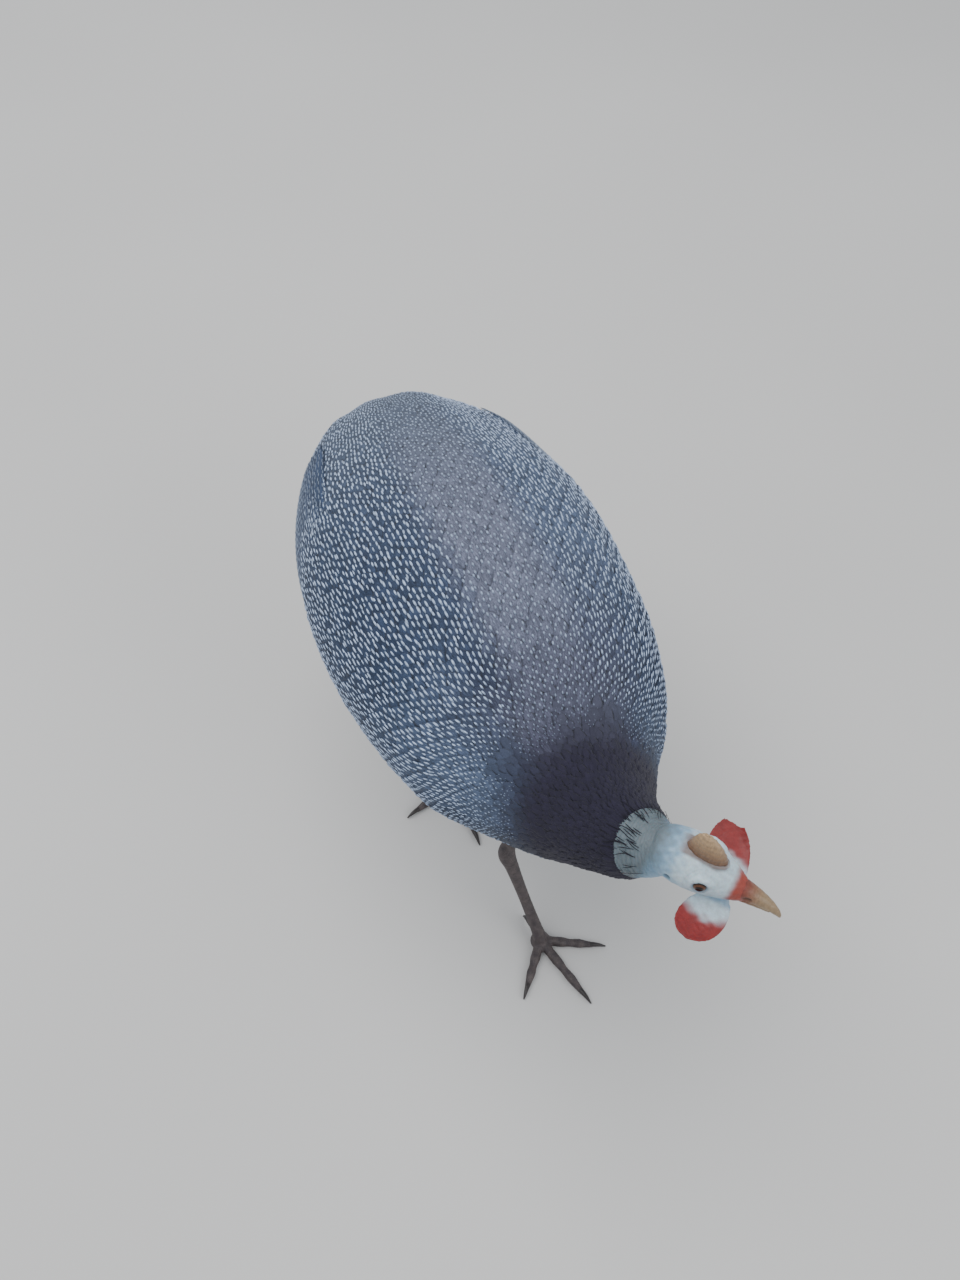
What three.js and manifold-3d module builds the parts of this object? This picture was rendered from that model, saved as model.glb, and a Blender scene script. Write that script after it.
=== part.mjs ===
// A life-size helmeted guinea fowl (the domestic pearl breed), walking with one foot ahead and its head turned
// to its left. Millimetres, +Z up. The bird faces -Y, its left side is +X, and it stands on the plane Z = 0.
// The flesh is lofted through a few named stations, joined, and parted by thin cuts into named pieces.

import * as THREE from "three";
import { mergeVertices } from "three/addons/utils/BufferGeometryUtils.js";
import Module from "manifold-3d";

const wasm = await Module();
wasm.setup();

// Driving dimensions

const GAP = 0.3; // clear cut between two pieces
const TRUNK_RINGS = 22;
const TRUNK_SIDES = 24;
const LIMB_SIDES = 10;

// The centre line from tail root to nape, with how far the body reaches from it sideways, upwards and downwards.
const SPINE = [
  { name: "tail_root", at: [6, 192, 226], side: 21, up: 10, down: 12 },
  { name: "rump", at: [5, 170, 240], side: 48, up: 29, down: 30 },
  { name: "loin", at: [0, 118, 247], side: 77, up: 58, down: 54 },
  { name: "back", at: [-3, 57, 244], side: 95, up: 88, down: 84 },
  { name: "middle", at: [-1, -6, 240], side: 99, up: 100, down: 95 },
  { name: "shoulder", at: [3, -66, 238], side: 94, up: 92, down: 89 },
  { name: "breast", at: [5, -118, 243], side: 81, up: 72, down: 68 },
  { name: "neck_root", at: [4, -158, 258], side: 56, up: 50, down: 43 },
  { name: "neck_middle", at: [4, -191, 281], side: 36, up: 33, down: 30 },
  { name: "collar", at: [6, -215, 300], side: 25, up: 24, down: 22 },
  { name: "nape", at: [11, -232, 315], side: 17.5, up: 17, down: 16 },
  { name: "atlas", at: [16, -241, 324], side: 13, up: 12.5, down: 12.5 },
];

const THIGH = { top: 30, middle: 21, cuff: 8.5 };
const SHANK = { tibia: 4.6, hock: 6.4, middle: 4.1, ankle: 5.4 };
const TOE = { base: 4.1, knuckle: 3.7, neck: 2.9, tip: 2.5 };
const CLAW = { length: 9.5, base: 2.1, tip: 0.6 };
const TOE_LENGTH = { inner: 37, middle: 50, outer: 40 };
const FOOT_PAD = { radius: 7.5, height: 10 };

// Each leg: knee, hock and the joint where the toes meet, then where each toe points, in degrees from straight
// ahead towards the bird's left.
const LEGS = {
  right: {
    knee: [-36, -14, 172],
    hock: [-22, 28, 84],
    foot: [-10, 0, 8],
    turn: { inner: 58, middle: 0, outer: -70, hallux: 178 },
  },
  left: {
    knee: [32, -58, 168],
    hock: [-9, -108, 80],
    foot: [5, -150, 8],
    turn: { inner: -37, middle: 17, outer: 66, hallux: 190 },
  },
};

// The head's own frame: origin between the ears, nose towards -Y.
const HEAD = {
  at: [20, -246, 327],
  turn: 43, // degrees from straight ahead to the bird's left
  nod: 10, // degrees that the bill points below level
};

const EYE = { radius: 5, at: [9.8, -13.5, 3.2] };
const CASQUE = {
  base: 24,
  height: 20,
  foot: 9.5,
  thickness: 5.2,
  lean: 6,
  thinning: 0.36, // share of its thickness that is lost by the top
  shortening: 0.34, // and of its length
  roundness: 2.6, // a higher power keeps the sides full for longer before they close over the top
};
const WATTLE = { length: 31, width: 24, thickness: 2.4, cup: 5 };

const TAIL = { root: [8, 148, 232], tip: [10, 212, 180], width: 44, rootHeight: 46, tipHeight: 5 };

// Where the folded wing lies on the trunk, as shares of the centre line and angles round it from the top.
const WING = {
  shoulder: 0.57,
  tip: 0.05,
  upperEdge: 36,
  lowerEdge: 118,
  tipAngle: 62,
  proud: 4.5,
  depth: 7,
};

// Where the dark feathered neck and the bare nape begin, as shares of the centre line from the tail.
const NECK_CUT = 0.66;
const NAPE_CUT = 0.885;

const radians = THREE.MathUtils.degToRad;
const point = (p) => new THREE.Vector3(...p);

// Solids

// A closed surface through rings of equally many points, with a fan at each end.
function ringSurface(rings) {
  const sides = rings[0].length;
  const middle = (ring) => ring.reduce((sum, p) => sum.add(p), new THREE.Vector3()).divideScalar(sides);
  const points = [...rings.flat(), middle(rings[0]), middle(rings.at(-1))];
  const first = points.length - 2;
  const last = points.length - 1;
  const lastRing = (rings.length - 1) * sides;
  const faces = [];
  for (let j = 0; j < sides; j++) {
    const k = (j + 1) % sides;
    faces.push(first, k, j, last, lastRing + j, lastRing + k);
    for (let i = 0; i < lastRing; i += sides) {
      faces.push(i + j, i + k, i + sides + k, i + j, i + sides + k, i + sides + j);
    }
  }
  return new THREE.BufferGeometry().setFromPoints(points).setIndex(faces);
}

// A closed geometry as a solid that can be joined and cut, whichever way its faces were wound.
function solid(geometry) {
  const bare = geometry.clone().deleteAttribute("normal").deleteAttribute("uv");
  const merged = mergeVertices(bare, 1e-3);
  const triVerts = new Uint32Array(merged.index.array);
  const mesh = () => new wasm.Mesh({ numProp: 3, vertProperties: merged.attributes.position.array, triVerts });
  const made = new wasm.Manifold(mesh());
  if (made.volume() > 0) return made;
  triVerts.reverse();
  return new wasm.Manifold(mesh());
}

function geometryOf(made) {
  const { vertProperties, triVerts } = made.getMesh();
  return new THREE.BufferGeometry()
    .setAttribute("position", new THREE.BufferAttribute(vertProperties, 3))
    .setIndex(new THREE.BufferAttribute(triVerts, 1));
}

// The side and up directions of a ring whose centre line runs along a tangent.
function ringFrame(tangent) {
  const side = new THREE.Vector3(0, 0, 1).cross(tangent).normalize();
  const up = tangent.clone().cross(side).normalize();
  return { side, up };
}

// A smooth loft through stations { at, side, up, down }. Its surface point at share t and angle (0 on top, 90 on
// the left) can be moved out by a lift, so that patches and clear cuts follow the same form.
function loftThrough(stations) {
  const line = new THREE.CatmullRomCurve3(stations.map((s) => point(s.at)), false, "catmullrom", 0.5);
  const reach = new THREE.CatmullRomCurve3(
    stations.map((s) => new THREE.Vector3(s.side, s.up, s.down)), false, "catmullrom", 0.5);
  const surface = (t, angle, lift = 0) => {
    const { side, up } = ringFrame(line.getTangent(t));
    const size = reach.getPoint(t);
    const high = Math.cos(angle) > 0 ? size.y : size.z;
    return line.getPoint(t)
      .addScaledVector(side, (size.x + lift) * Math.sin(angle))
      .addScaledVector(up, (high + lift) * Math.cos(angle));
  };
  const rings = (from, to, count, sides, lift = 0) => Array.from({ length: count }, (_, i) => {
    const t = from + ((to - from) * i) / (count - 1);
    return Array.from({ length: sides }, (_, j) => surface(t, (2 * Math.PI * j) / sides, lift));
  });
  return { line, surface, rings };
}

// A round limb through points with a radius each.
function limb(stations, { sides = LIMB_SIDES, rings = 9, lift = 0 } = {}) {
  const loft = loftThrough(stations.map(([at, r, deep = r]) => ({ at, side: r, up: deep, down: deep })));
  return solid(ringSurface(loft.rings(0, 1, rings, sides, lift)));
}

// A loft whose rings stand across a straight line along -Y, for the head's pieces: each station is
// [forward, centre height, half width, up, down].
function faceLoft(stations, { sides = 14, rings = 9, lift = 0 } = {}) {
  const loft = loftThrough(stations.map(([forward, height, side, up, down]) => (
    { at: [0, -forward, height], side, up, down })));
  return solid(ringSurface(loft.rings(0, 1, rings, sides, lift)));
}

// Trunk, neck and wings

const body = loftThrough(SPINE);
const flesh = solid(ringSurface(body.rings(0, 1, TRUNK_RINGS, TRUNK_SIDES)));

// A thick patch on the trunk between an inner and an outer surface, for a folded wing. Its outline is a long leaf:
// round at the shoulder, widest in the middle, and pointed towards the tail. hand is 1 on the left, -1 on the right.
// A grown patch is larger on every side, which a share of the centre line or a degree round it gives per millimetre.
const GROW_ALONG = 0.004;
const GROW_ROUND = 1.2;

function wingPatch(hand, grow = 0) {
  const along = 14;
  const across = 6;
  const grid = (lift) => Array.from({ length: along + 1 }, (_, i) => {
    const share = i / along;
    const t = THREE.MathUtils.lerp(WING.shoulder + GROW_ALONG * grow, WING.tip - GROW_ALONG * grow, share);
    const leaf = Math.pow(Math.sin(Math.PI * Math.pow(0.01 + 0.96 * share, 0.8)), 0.62);
    const centre = THREE.MathUtils.lerp((WING.upperEdge + WING.lowerEdge) / 2, WING.tipAngle, share * share);
    const half = leaf * (WING.lowerEdge - WING.upperEdge) / 2;
    return Array.from({ length: across + 1 }, (_, j) => {
      const v = (2 * j) / across - 1;
      const angle = radians(centre + v * (half + GROW_ROUND * grow));
      const rise = lift(leaf * Math.sqrt(1 - 0.96 * v * v));
      return body.surface(t, hand * angle, rise);
    });
  });
  const outer = grid((bulge) => 0.6 + WING.proud * bulge + grow);
  const inner = grid(() => -WING.depth - grow);
  // Each ring runs out over the outer surface and back under the inner one.
  return solid(ringSurface(outer.map((row, i) => [...row, ...inner[i].slice().reverse()])));
}

// Legs

function legSolids(name) {
  const { knee, hock, foot, turn } = LEGS[name];
  const [k, h, f] = [knee, hock, foot].map(point);
  const between = (a, b, share) => a.clone().lerp(b, share).toArray();
  const hip = [knee[0] * 0.95, knee[1] + 34, knee[2] + 28];
  const thigh = (lift) => limb([
    [hip, THIGH.top * 0.8 + lift],
    [knee, THIGH.top + lift],
    [between(k, h, 0.3), THIGH.middle + lift],
    [between(k, h, 0.58), THIGH.cuff * 1.45 + lift],
    [between(k, h, 0.74), THIGH.cuff + lift],
  ], { sides: 12, rings: 8 });
  const shank = (lift) => limb([
    [between(k, h, 0.66), SHANK.tibia + lift],
    [between(k, h, 0.9), SHANK.tibia + 0.4 + lift],
    [hock, SHANK.hock + lift],
    [between(h, f, 0.16), SHANK.middle + 0.9 + lift],
    [between(h, f, 0.5), SHANK.middle + lift],
    [between(h, f, 0.86), SHANK.middle + 0.4 + lift],
    [between(h, f, 1.0), SHANK.ankle + lift],
  ], { rings: 11 });
  const toes = {};
  const claws = {};
  for (const [toe, degrees] of Object.entries(turn)) {
    const heading = new THREE.Vector3(Math.sin(radians(degrees)), -Math.cos(radians(degrees)), 0);
    const make = toe === "hallux" ? halluxAndClaw : toeAndClaw;
    [toes[toe], claws[toe]] = make(f, heading, TOE_LENGTH[toe]);
  }
  return { thigh, shank, toes, claws };
}

// Everything under the floor is cut off, so that each pad has a flat at Z = 0.
const floorBlock = solid(new THREE.BoxGeometry(900, 900, 60).translate(0, 0, -30));
const aboveFloor = (made) => made.subtract(floorBlock);

// The foot's own pad, under the joint that the toes spread from.
function footPad(centre, lift = 0) {
  const { radius, height } = FOOT_PAD;
  const stations = [
    [[centre[0], centre[1], -2], radius * 0.9 + lift],
    [[centre[0], centre[1], height * 0.5], radius + lift],
    [[centre[0], centre[1], height + lift], radius * 0.62 + lift],
  ];
  const rings = stations.map(([at, r]) => Array.from({ length: LIMB_SIDES }, (_, j) => {
    const angle = (2 * Math.PI * j) / LIMB_SIDES;
    return point(at).add(new THREE.Vector3(Math.cos(angle) * r, Math.sin(angle) * r, 0));
  }));
  return solid(ringSurface(rings));
}

// A front toe: three knuckles on pads, then a claw that curves down to just above the floor.
function toeAndClaw(foot, heading, length) {
  const start = new THREE.Vector3(foot.x, foot.y, 0);
  const at = (share, height) => start.clone().addScaledVector(heading, length * share).setZ(height).toArray();
  const toe = (lift) => aboveFloor(limb([
    [at(0, 5.2), TOE.base + 0.7 + lift],
    [at(0.2, 4.0), TOE.neck + 0.7 + lift],
    [at(0.4, 3.5), TOE.knuckle + lift],
    [at(0.56, 3.0), TOE.neck + lift],
    [at(0.72, 3.1), TOE.knuckle - 0.4 + lift],
    [at(0.88, 2.6), TOE.tip + lift],
    [at(1, 2.6), TOE.tip - 0.6 + lift],
  ], { sides: 8, rings: 7 }));
  const reach = CLAW.length / length;
  const claw = (lift) => aboveFloor(limb([
    [at(0.94, 3.0), CLAW.base * 0.9 + lift],
    [at(1.02, 3.1), CLAW.base * 0.84 + lift],
    [at(1 + reach * 0.55, 2.7), CLAW.base * 0.6 + lift],
    [at(1 + reach, 1.3), CLAW.tip + lift],
  ], { sides: 6, rings: 5 }));
  return [toe, claw];
}

// The short hind toe leaves the shank above the foot, and only its claw reaches the floor.
function halluxAndClaw(foot, heading) {
  const at = (out, height) => new THREE.Vector3(foot.x, foot.y, height).addScaledVector(heading, out).toArray();
  const toe = (lift) => limb([
    [at(0, 14), 3.2 + lift],
    [at(7, 12.5), 3.2 + lift],
    [at(13, 9.5), 2.9 + lift],
    [at(18, 6.6), 2.1 + lift],
  ], { sides: 8, rings: 6 });
  const claw = (lift) => aboveFloor(limb([
    [at(16, 7.4), 1.8 + lift],
    [at(19, 5.9), 1.7 + lift],
    [at(22.5, 3.0), 1.1 + lift],
    [at(24, 0.3), CLAW.tip + lift],
  ], { sides: 6, rings: 5 }));
  return [toe, claw];
}

// Head

// Puts a solid made in the head's own frame in its place on the neck.
const headPlace = new THREE.Matrix4().makeTranslation(...HEAD.at)
  .multiply(new THREE.Matrix4().makeRotationZ(radians(HEAD.turn)))
  .multiply(new THREE.Matrix4().makeRotationX(radians(HEAD.nod)));
const onHead = (made) => made.transform(headPlace.toArray());

// [forward, centre height, half width, up, down]: the skull with its skin, from the back of the head to the bill.
const SKULL = [
  [-13, -3, 6.5, 7, 9],
  [-9, -1.5, 11.8, 11.6, 13.5],
  [0, 0, 14.2, 13.8, 15],
  [9, 0.4, 14.5, 13.6, 14],
  [18, 0, 12.9, 12, 12.4],
  [27, -1.4, 9.6, 9.2, 10],
  [34, -2.6, 6.4, 6.8, 7.4],
  [38, -3.2, 4, 4.6, 5],
];

const UPPER_BILL = [
  [29, -0.6, 5.6, 5.6, 2.6],
  [36, -0.8, 5.4, 5.2, 2.4],
  [44, -1.6, 4.2, 4.2, 2.0],
  [51, -3.4, 2.8, 3.0, 1.8],
  [56, -6.2, 1.5, 1.8, 1.4],
  [58, -8.2, 0.6, 0.7, 0.7],
];

const LOWER_BILL = [
  [29, -5.0, 5.2, 2.8, 3.4],
  [37, -4.8, 4.6, 2.6, 3.2],
  [45, -5.2, 3.2, 2.2, 2.4],
  [52, -6.6, 1.6, 1.2, 1.4],
];

// The bony helmet: a blade that is thick at its foot and leans back towards its rounded top.
function casque(lift = 0) {
  const rings = 8;
  const sides = 14;
  const { base, height, foot, thickness, lean, thinning, shortening, roundness } = CASQUE;
  const rows = Array.from({ length: rings }, (_, i) => {
    const rise = Math.sin((Math.PI / 2) * (i / (rings - 1)));
    const taper = Math.sqrt(Math.max(1 - Math.pow(rise, roundness), 0.035));
    const thick = thickness * (1 - thinning * rise) * taper + lift;
    const long = (base / 2) * (1 - shortening * rise) * taper + lift;
    return Array.from({ length: sides }, (_, j) => {
      const angle = (2 * Math.PI * j) / sides;
      return new THREE.Vector3(
        Math.cos(angle) * thick,
        -10 + Math.sin(angle) * long + lean * rise * rise,
        foot + rise * height + (i === rings - 1 ? lift : 0));
    });
  });
  return solid(ringSurface(rows));
}

// A wattle: a thick round flap from the corner of the bill, standing out to the side and cupped upwards.
function wattle(hand, lift = 0) {
  const rings = 9;
  const sides = 12;
  const { length, width, thickness, cup } = WATTLE;
  const rows = Array.from({ length: rings }, (_, i) => {
    const share = i / (rings - 1);
    const half = (width / 2) * Math.sqrt(Math.max(1 - Math.pow(2 * share - 1.05, 2) / 1.12, 0.04));
    const thick = thickness / 2 * (1 - 0.25 * share);
    return Array.from({ length: sides }, (_, j) => {
      const angle = (2 * Math.PI * j) / sides;
      const across = Math.cos(angle);
      return new THREE.Vector3(
        hand * (3.5 + length * share),
        -27 + 7 * share + across * (half + lift),
        -8.5 - 6 * Math.sin(share * 2.2) + cup * share * share
          + cup * 0.55 * across * across * share + Math.sin(angle) * (thick + lift));
    });
  });
  return solid(ringSurface(rows));
}

const eyeball = (hand, lift = 0) => solid(
  new THREE.SphereGeometry(EYE.radius + lift, 10, 7).rotateX(Math.PI / 2)
    .translate(hand * EYE.at[0], EYE.at[1], EYE.at[2]));

// Tail: the closed fan under its coverts, drooping.
function tailFan(lift = 0) {
  const { root, tip, width, rootHeight, tipHeight } = TAIL;
  const way = point(tip).sub(point(root));
  const stations = [0, 0.35, 0.7, 0.92, 1].map((share) => ({
    at: point(root).addScaledVector(way, share).setZ(
      root[2] + way.z * (0.8 * share + 0.2 * share * share)).toArray(),
    side: width * (0.62 + 0.38 * Math.sin(share * 1.9)) * (share === 1 ? 0.86 : 1) + lift,
    up: THREE.MathUtils.lerp(rootHeight, tipHeight, share) / 2 + lift,
    down: THREE.MathUtils.lerp(rootHeight, tipHeight, share) / 2 + lift,
  }));
  return solid(ringSurface(loftThrough(stations.reverse()).rings(0, 1, 9, 20)));
}

// Cutting the bird into its pieces

// A thin slab across the centre line at share t, which parts what it crosses.
function slabAcross(t, size) {
  const slab = new THREE.BoxGeometry(size, size, GAP);
  const turn = new THREE.Quaternion().setFromUnitVectors(new THREE.Vector3(0, 0, 1), body.line.getTangent(t));
  slab.applyQuaternion(turn).translate(...body.line.getPoint(t).toArray());
  return solid(slab);
}

// The largest of the separate bodies that a cut leaves. Crumbs of the others are dropped.
function largest(made) {
  return made.decompose().reduce((best, one) => (one.volume() > best.volume() ? one : best));
}

const HANDS = { left: 1, right: -1 };
const SLAB = 400;

// The trunk, neck and nape are what is left of the flesh when the wings, thighs, tail and head have been let in.
function trunkPieces(legs) {
  const tail = tailFan();
  const tailClear = tailFan(GAP);
  const pieces = { tail };
  let rest = flesh.subtract(tailClear).subtract(onHead(faceLoft(SKULL, { lift: GAP })));
  for (const [name, hand] of Object.entries(HANDS)) {
    const thighClear = legs[name].thigh(GAP);
    pieces[`wing_${name}`] = largest(wingPatch(hand).subtract(tailClear).subtract(thighClear));
    rest = rest.subtract(wingPatch(hand, GAP)).subtract(thighClear);
  }
  const parted = rest.subtract(slabAcross(NECK_CUT, SLAB)).subtract(slabAcross(NAPE_CUT, SLAB));
  const [trunk, neck, nape] = parted.decompose().sort((a, b) => b.volume() - a.volume());
  return { trunk, neck, nape, ...pieces };
}

function legPieces(name, { thigh, shank, toes, claws }) {
  const pad = aboveFloor(footPad(LEGS[name].foot));
  const padClear = footPad(LEGS[name].foot, GAP);
  const pieces = {
    [`thigh_${name}`]: thigh(0).subtract(shank(GAP)),
    [`shank_${name}`]: largest(shank(0).subtract(padClear)),
    [`foot_${name}`]: pad,
  };
  let taken = padClear.add(shank(GAP));
  for (const [toe, make] of Object.entries(toes)) {
    pieces[`toe_${toe}_${name}`] = largest(make(0).subtract(taken));
    pieces[`claw_${toe}_${name}`] = largest(claws[toe](0).subtract(make(GAP)));
    taken = taken.add(make(GAP));
  }
  return pieces;
}

// Bill, helmet, wattles and eyes are let into the skull with a clear cut round each.
function headPieces() {
  const [billUp, billLow] = [UPPER_BILL, LOWER_BILL];
  const mesh = { sides: 12, rings: 9 };
  const upperClear = faceLoft(billUp, { ...mesh, lift: GAP });
  const lowerClear = faceLoft(billLow, { ...mesh, lift: GAP });
  const pieces = {
    bill_upper: faceLoft(billUp, mesh),
    bill_lower: largest(faceLoft(billLow, mesh).subtract(upperClear)),
    casque: casque(),
  };
  let skull = faceLoft(SKULL).subtract(upperClear).subtract(lowerClear).subtract(casque(GAP));
  for (const [name, hand] of Object.entries(HANDS)) {
    skull = skull.subtract(eyeball(hand, GAP)).subtract(wattle(hand, GAP));
    pieces[`eye_${name}`] = eyeball(hand);
    pieces[`wattle_${name}`] = largest(wattle(hand).subtract(lowerClear));
  }
  pieces.head = largest(skull);
  return Object.fromEntries(Object.entries(pieces).map(([name, made]) => [name, onHead(made)]));
}

// Materials, by the kind of piece

const paint = (color, roughness) => new THREE.MeshStandardMaterial({ color, roughness, metalness: 0 });
const materials = {
  plumage: paint(0x4d5563, 0.8),
  collar: paint(0x3a3847, 0.85),
  skin: paint(0xbfd3d6, 0.55),
  wattle: paint(0xb5483f, 0.5),
  horn: paint(0x9a7352, 0.5),
  eye: paint(0x2a1a12, 0.15),
  leg: paint(0x4a4246, 0.6),
};
const materialOf = (name) => {
  if (/^(trunk|wing|thigh|tail)/.test(name)) return materials.plumage;
  if (name === "neck") return materials.collar;
  if (/^(head|nape)/.test(name)) return materials.skin;
  if (name.startsWith("wattle")) return materials.wattle;
  if (/^(bill|casque)/.test(name)) return materials.horn;
  return name.startsWith("eye") ? materials.eye : materials.leg;
};

const legs = { left: legSolids("left"), right: legSolids("right") };
const pieces = {
  ...trunkPieces(legs),
  ...legPieces("left", legs.left),
  ...legPieces("right", legs.right),
  ...headPieces(),
};

const bird = new THREE.Group();
for (const [name, made] of Object.entries(pieces)) {
  const mesh = new THREE.Mesh(geometryOf(made), materialOf(name));
  mesh.name = name;
  bird.add(mesh);
}

// The origin is on the floor, below the middle of the bird's box.
const middle = new THREE.Box3().setFromObject(bird).getCenter(new THREE.Vector3());
bird.position.set(-middle.x, -middle.y, 0);

export default bird;
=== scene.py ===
"""A life-size pearl guinea fowl: skin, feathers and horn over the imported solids, camera, floor and light.

Lengths are in metres; those of stations, of the head and of the legs are in millimetres until they are
multiplied by MM. The bird faces -Y, its left side is +X, and it stands on the plane Z = 0.
"""

import math
from copy import copy

import bpy
import numpy as np
from mathutils import Matrix, Vector


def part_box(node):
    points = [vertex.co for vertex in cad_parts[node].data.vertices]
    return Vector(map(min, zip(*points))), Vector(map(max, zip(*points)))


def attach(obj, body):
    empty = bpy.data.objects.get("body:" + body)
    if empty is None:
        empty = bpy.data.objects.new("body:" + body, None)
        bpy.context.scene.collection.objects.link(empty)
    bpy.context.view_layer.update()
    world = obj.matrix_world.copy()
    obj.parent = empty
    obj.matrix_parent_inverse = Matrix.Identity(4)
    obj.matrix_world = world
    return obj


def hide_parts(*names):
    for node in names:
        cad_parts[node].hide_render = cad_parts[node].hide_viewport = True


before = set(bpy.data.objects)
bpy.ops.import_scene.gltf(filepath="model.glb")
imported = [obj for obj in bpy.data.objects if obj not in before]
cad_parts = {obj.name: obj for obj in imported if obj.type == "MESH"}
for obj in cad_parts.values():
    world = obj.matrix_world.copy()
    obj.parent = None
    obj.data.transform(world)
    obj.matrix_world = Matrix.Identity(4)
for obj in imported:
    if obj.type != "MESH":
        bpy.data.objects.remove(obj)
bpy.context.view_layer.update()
ROOT = "root"
MM = 0.001
rng = np.random.default_rng(11)

# The solids stand round the origin, and the stations below are measured from the middle of the bird's stance.
PAD_AT = np.array([5.0, -150.0])  # the left foot's pad, in those measures
pad_low, pad_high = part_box("foot_left")
SHIFT = np.array([*((np.array(pad_low) + np.array(pad_high))[:2] / 2 - PAD_AT * MM), 0.0])


# Curves and surfaces


def smoothstep(low, high, x):
    share = np.clip((np.asarray(x, float) - low) / (high - low), 0, 1)
    return share * share * (3 - 2 * share)


def mix(a, b, share):
    """Between two numbers, colours or points, at one share or at each of several."""
    share = np.asarray(share, float)
    if np.ndim(a) or np.ndim(b):
        share = share[..., None]
    return np.asarray(a, float) * (1 - share) + np.asarray(b, float) * share


def mix_each(a, b, share):
    """Between two numbers or two arrays of one shape, at a share for each value."""
    return a * (1 - share) + b * share


def unit(v):
    """Vectors of length 1 in the directions of the last axis of v."""
    return v / np.maximum(np.linalg.norm(v, axis=-1, keepdims=True), 1e-12)


def smooth_through(points, t):
    """The smooth curve through points at shares t, which goes straight on past its ends."""
    p = np.asarray(points, float)
    spans = len(p) - 1
    t = np.asarray(t, float)
    inside = np.clip(t, 0, 1) * spans
    i = np.minimum(inside.astype(int), spans - 1)
    u = (inside - i)[..., None]
    q = np.vstack([2 * p[0] - p[1], p, 2 * p[-1] - p[-2]])
    a, b, c, d = q[i], q[i + 1], q[i + 2], q[i + 3]
    curve = 0.5 * (2 * b + (c - a) * u + (2 * a - 5 * b + 4 * c - d) * u**2 + (3 * b - a - 3 * c + d) * u**3)
    slope = 0.5 * ((c - a) + 2 * (2 * a - 5 * b + 4 * c - d) * u + 3 * (3 * b - a - 3 * c + d) * u**2)
    past = (t * spans - inside)[..., None]
    return curve + slope * past


def full_turn(sides):
    """Equally spaced angles all the way round."""
    return np.linspace(0, 2 * math.pi, sides, endpoint=False)


def crossed(down, along):
    """Every value of down with every value of along, as two arrays."""
    return np.meshgrid(down, along, indexing="ij")


class Loft:
    """A body lofted through stations (x, y, z, side, up, down), in millimetres. Angle 0 is on top and 90
    degrees on the left side, seen along the line."""

    def __init__(self, rows, shift=SHIFT):
        rows = np.asarray(rows, float) * MM
        self.line = rows[:, :3] + shift
        self.reach = rows[:, 3:]

    def frame_at(self, t):
        step = 1e-3
        tangent = unit(smooth_through(self.line, t + step) - smooth_through(self.line, t - step))
        side = unit(np.cross([0.0, 0.0, 1.0], tangent))
        return smooth_through(self.line, t), tangent, side, np.cross(tangent, side)

    def __call__(self, t, angle, lift=0.0):
        t, angle, lift = np.broadcast_arrays(*(np.asarray(v, float) for v in (t, angle, lift)))
        centre, _, side, up = self.frame_at(t)
        reach = smooth_through(self.reach, t)
        high = np.where(np.cos(angle) > 0, reach[..., 1], reach[..., 2])
        return (
            centre
            + side * ((reach[..., 0] + lift) * np.sin(angle))[..., None]
            + up * ((high + lift) * np.cos(angle))[..., None]
        )


# Stations of the body from tail root to skull: x, y, z, side, up, down.
BODY = Loft(
    [
        (6, 192, 226, 21, 10, 12),
        (5, 170, 240, 48, 29, 30),
        (0, 118, 247, 77, 58, 54),
        (-3, 57, 244, 95, 88, 84),
        (-1, -6, 240, 99, 100, 95),
        (3, -66, 238, 94, 92, 89),
        (5, -118, 243, 81, 72, 68),
        (4, -158, 258, 56, 50, 43),
        (4, -191, 281, 36, 33, 30),
        (6, -215, 300, 25, 24, 22),
        (11, -232, 315, 17.5, 17, 16),
        (16, -241, 324, 13, 12.5, 12.5),
    ]
)
NECK_FROM = 0.66  # share of the line where the dark, unspotted neck begins
BARE_FROM = 0.885  # and where the feathers end


def round_stations(rows):
    return [(*at, r, r, r) for at, r in rows]


# The legs' joints, and the direction of each toe in degrees from straight ahead, positive to the bird's left.
LEGS = {
    "right": {
        "knee": (-36, -14, 172),
        "hock": (-22, 28, 84),
        "foot": (-10, 0, 8),
        "turn": {"inner": 58, "middle": 0, "outer": -70, "hallux": 178},
    },
    "left": {
        "knee": (32, -58, 168),
        "hock": (-9, -108, 80),
        "foot": (5, -150, 8),
        "turn": {"inner": -37, "middle": 17, "outer": 66, "hallux": 190},
    },
}
TOE_LENGTH = {"inner": 37, "middle": 50, "outer": 40}
HANDS = {"left": 1, "right": -1}  # the sign of X on each side


def thigh_loft(name, grow=0.0):
    knee, hock = LEGS[name]["knee"], LEGS[name]["hock"]
    hip = (knee[0] * 0.95, knee[1] + 34, knee[2] + 28)
    rows = [
        (hip, 24),
        (knee, 30),
        (mix(knee, hock, 0.3), 21),
        (mix(knee, hock, 0.58), 12.3),
        (mix(knee, hock, 0.74), 8.5),
    ]
    return Loft(round_stations([(at, r + grow) for at, r in rows]))


TAIL_ROOT, TAIL_TIP = np.array([8, 148, 232.0]), np.array([10, 212, 180.0])
TAIL_WIDTH, TAIL_HEIGHTS = 44, (46, 5)


def tail_loft(grow=0.0):
    rows = []
    for share in (0, 0.35, 0.7, 0.92, 1):
        at = mix(TAIL_ROOT, TAIL_TIP, share)
        drop = (TAIL_TIP - TAIL_ROOT)[2] * (0.8 * share + 0.2 * share**2)
        width = TAIL_WIDTH * (0.62 + 0.38 * math.sin(share * 1.9)) * (0.86 if share == 1 else 1)
        high = (TAIL_HEIGHTS[0] * (1 - share) + TAIL_HEIGHTS[1] * share) / 2
        rows.append((at[0], at[1], TAIL_ROOT[2] + drop, width + grow, high + grow, high + grow))
    return Loft(rows)


TAIL = tail_loft()

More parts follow.
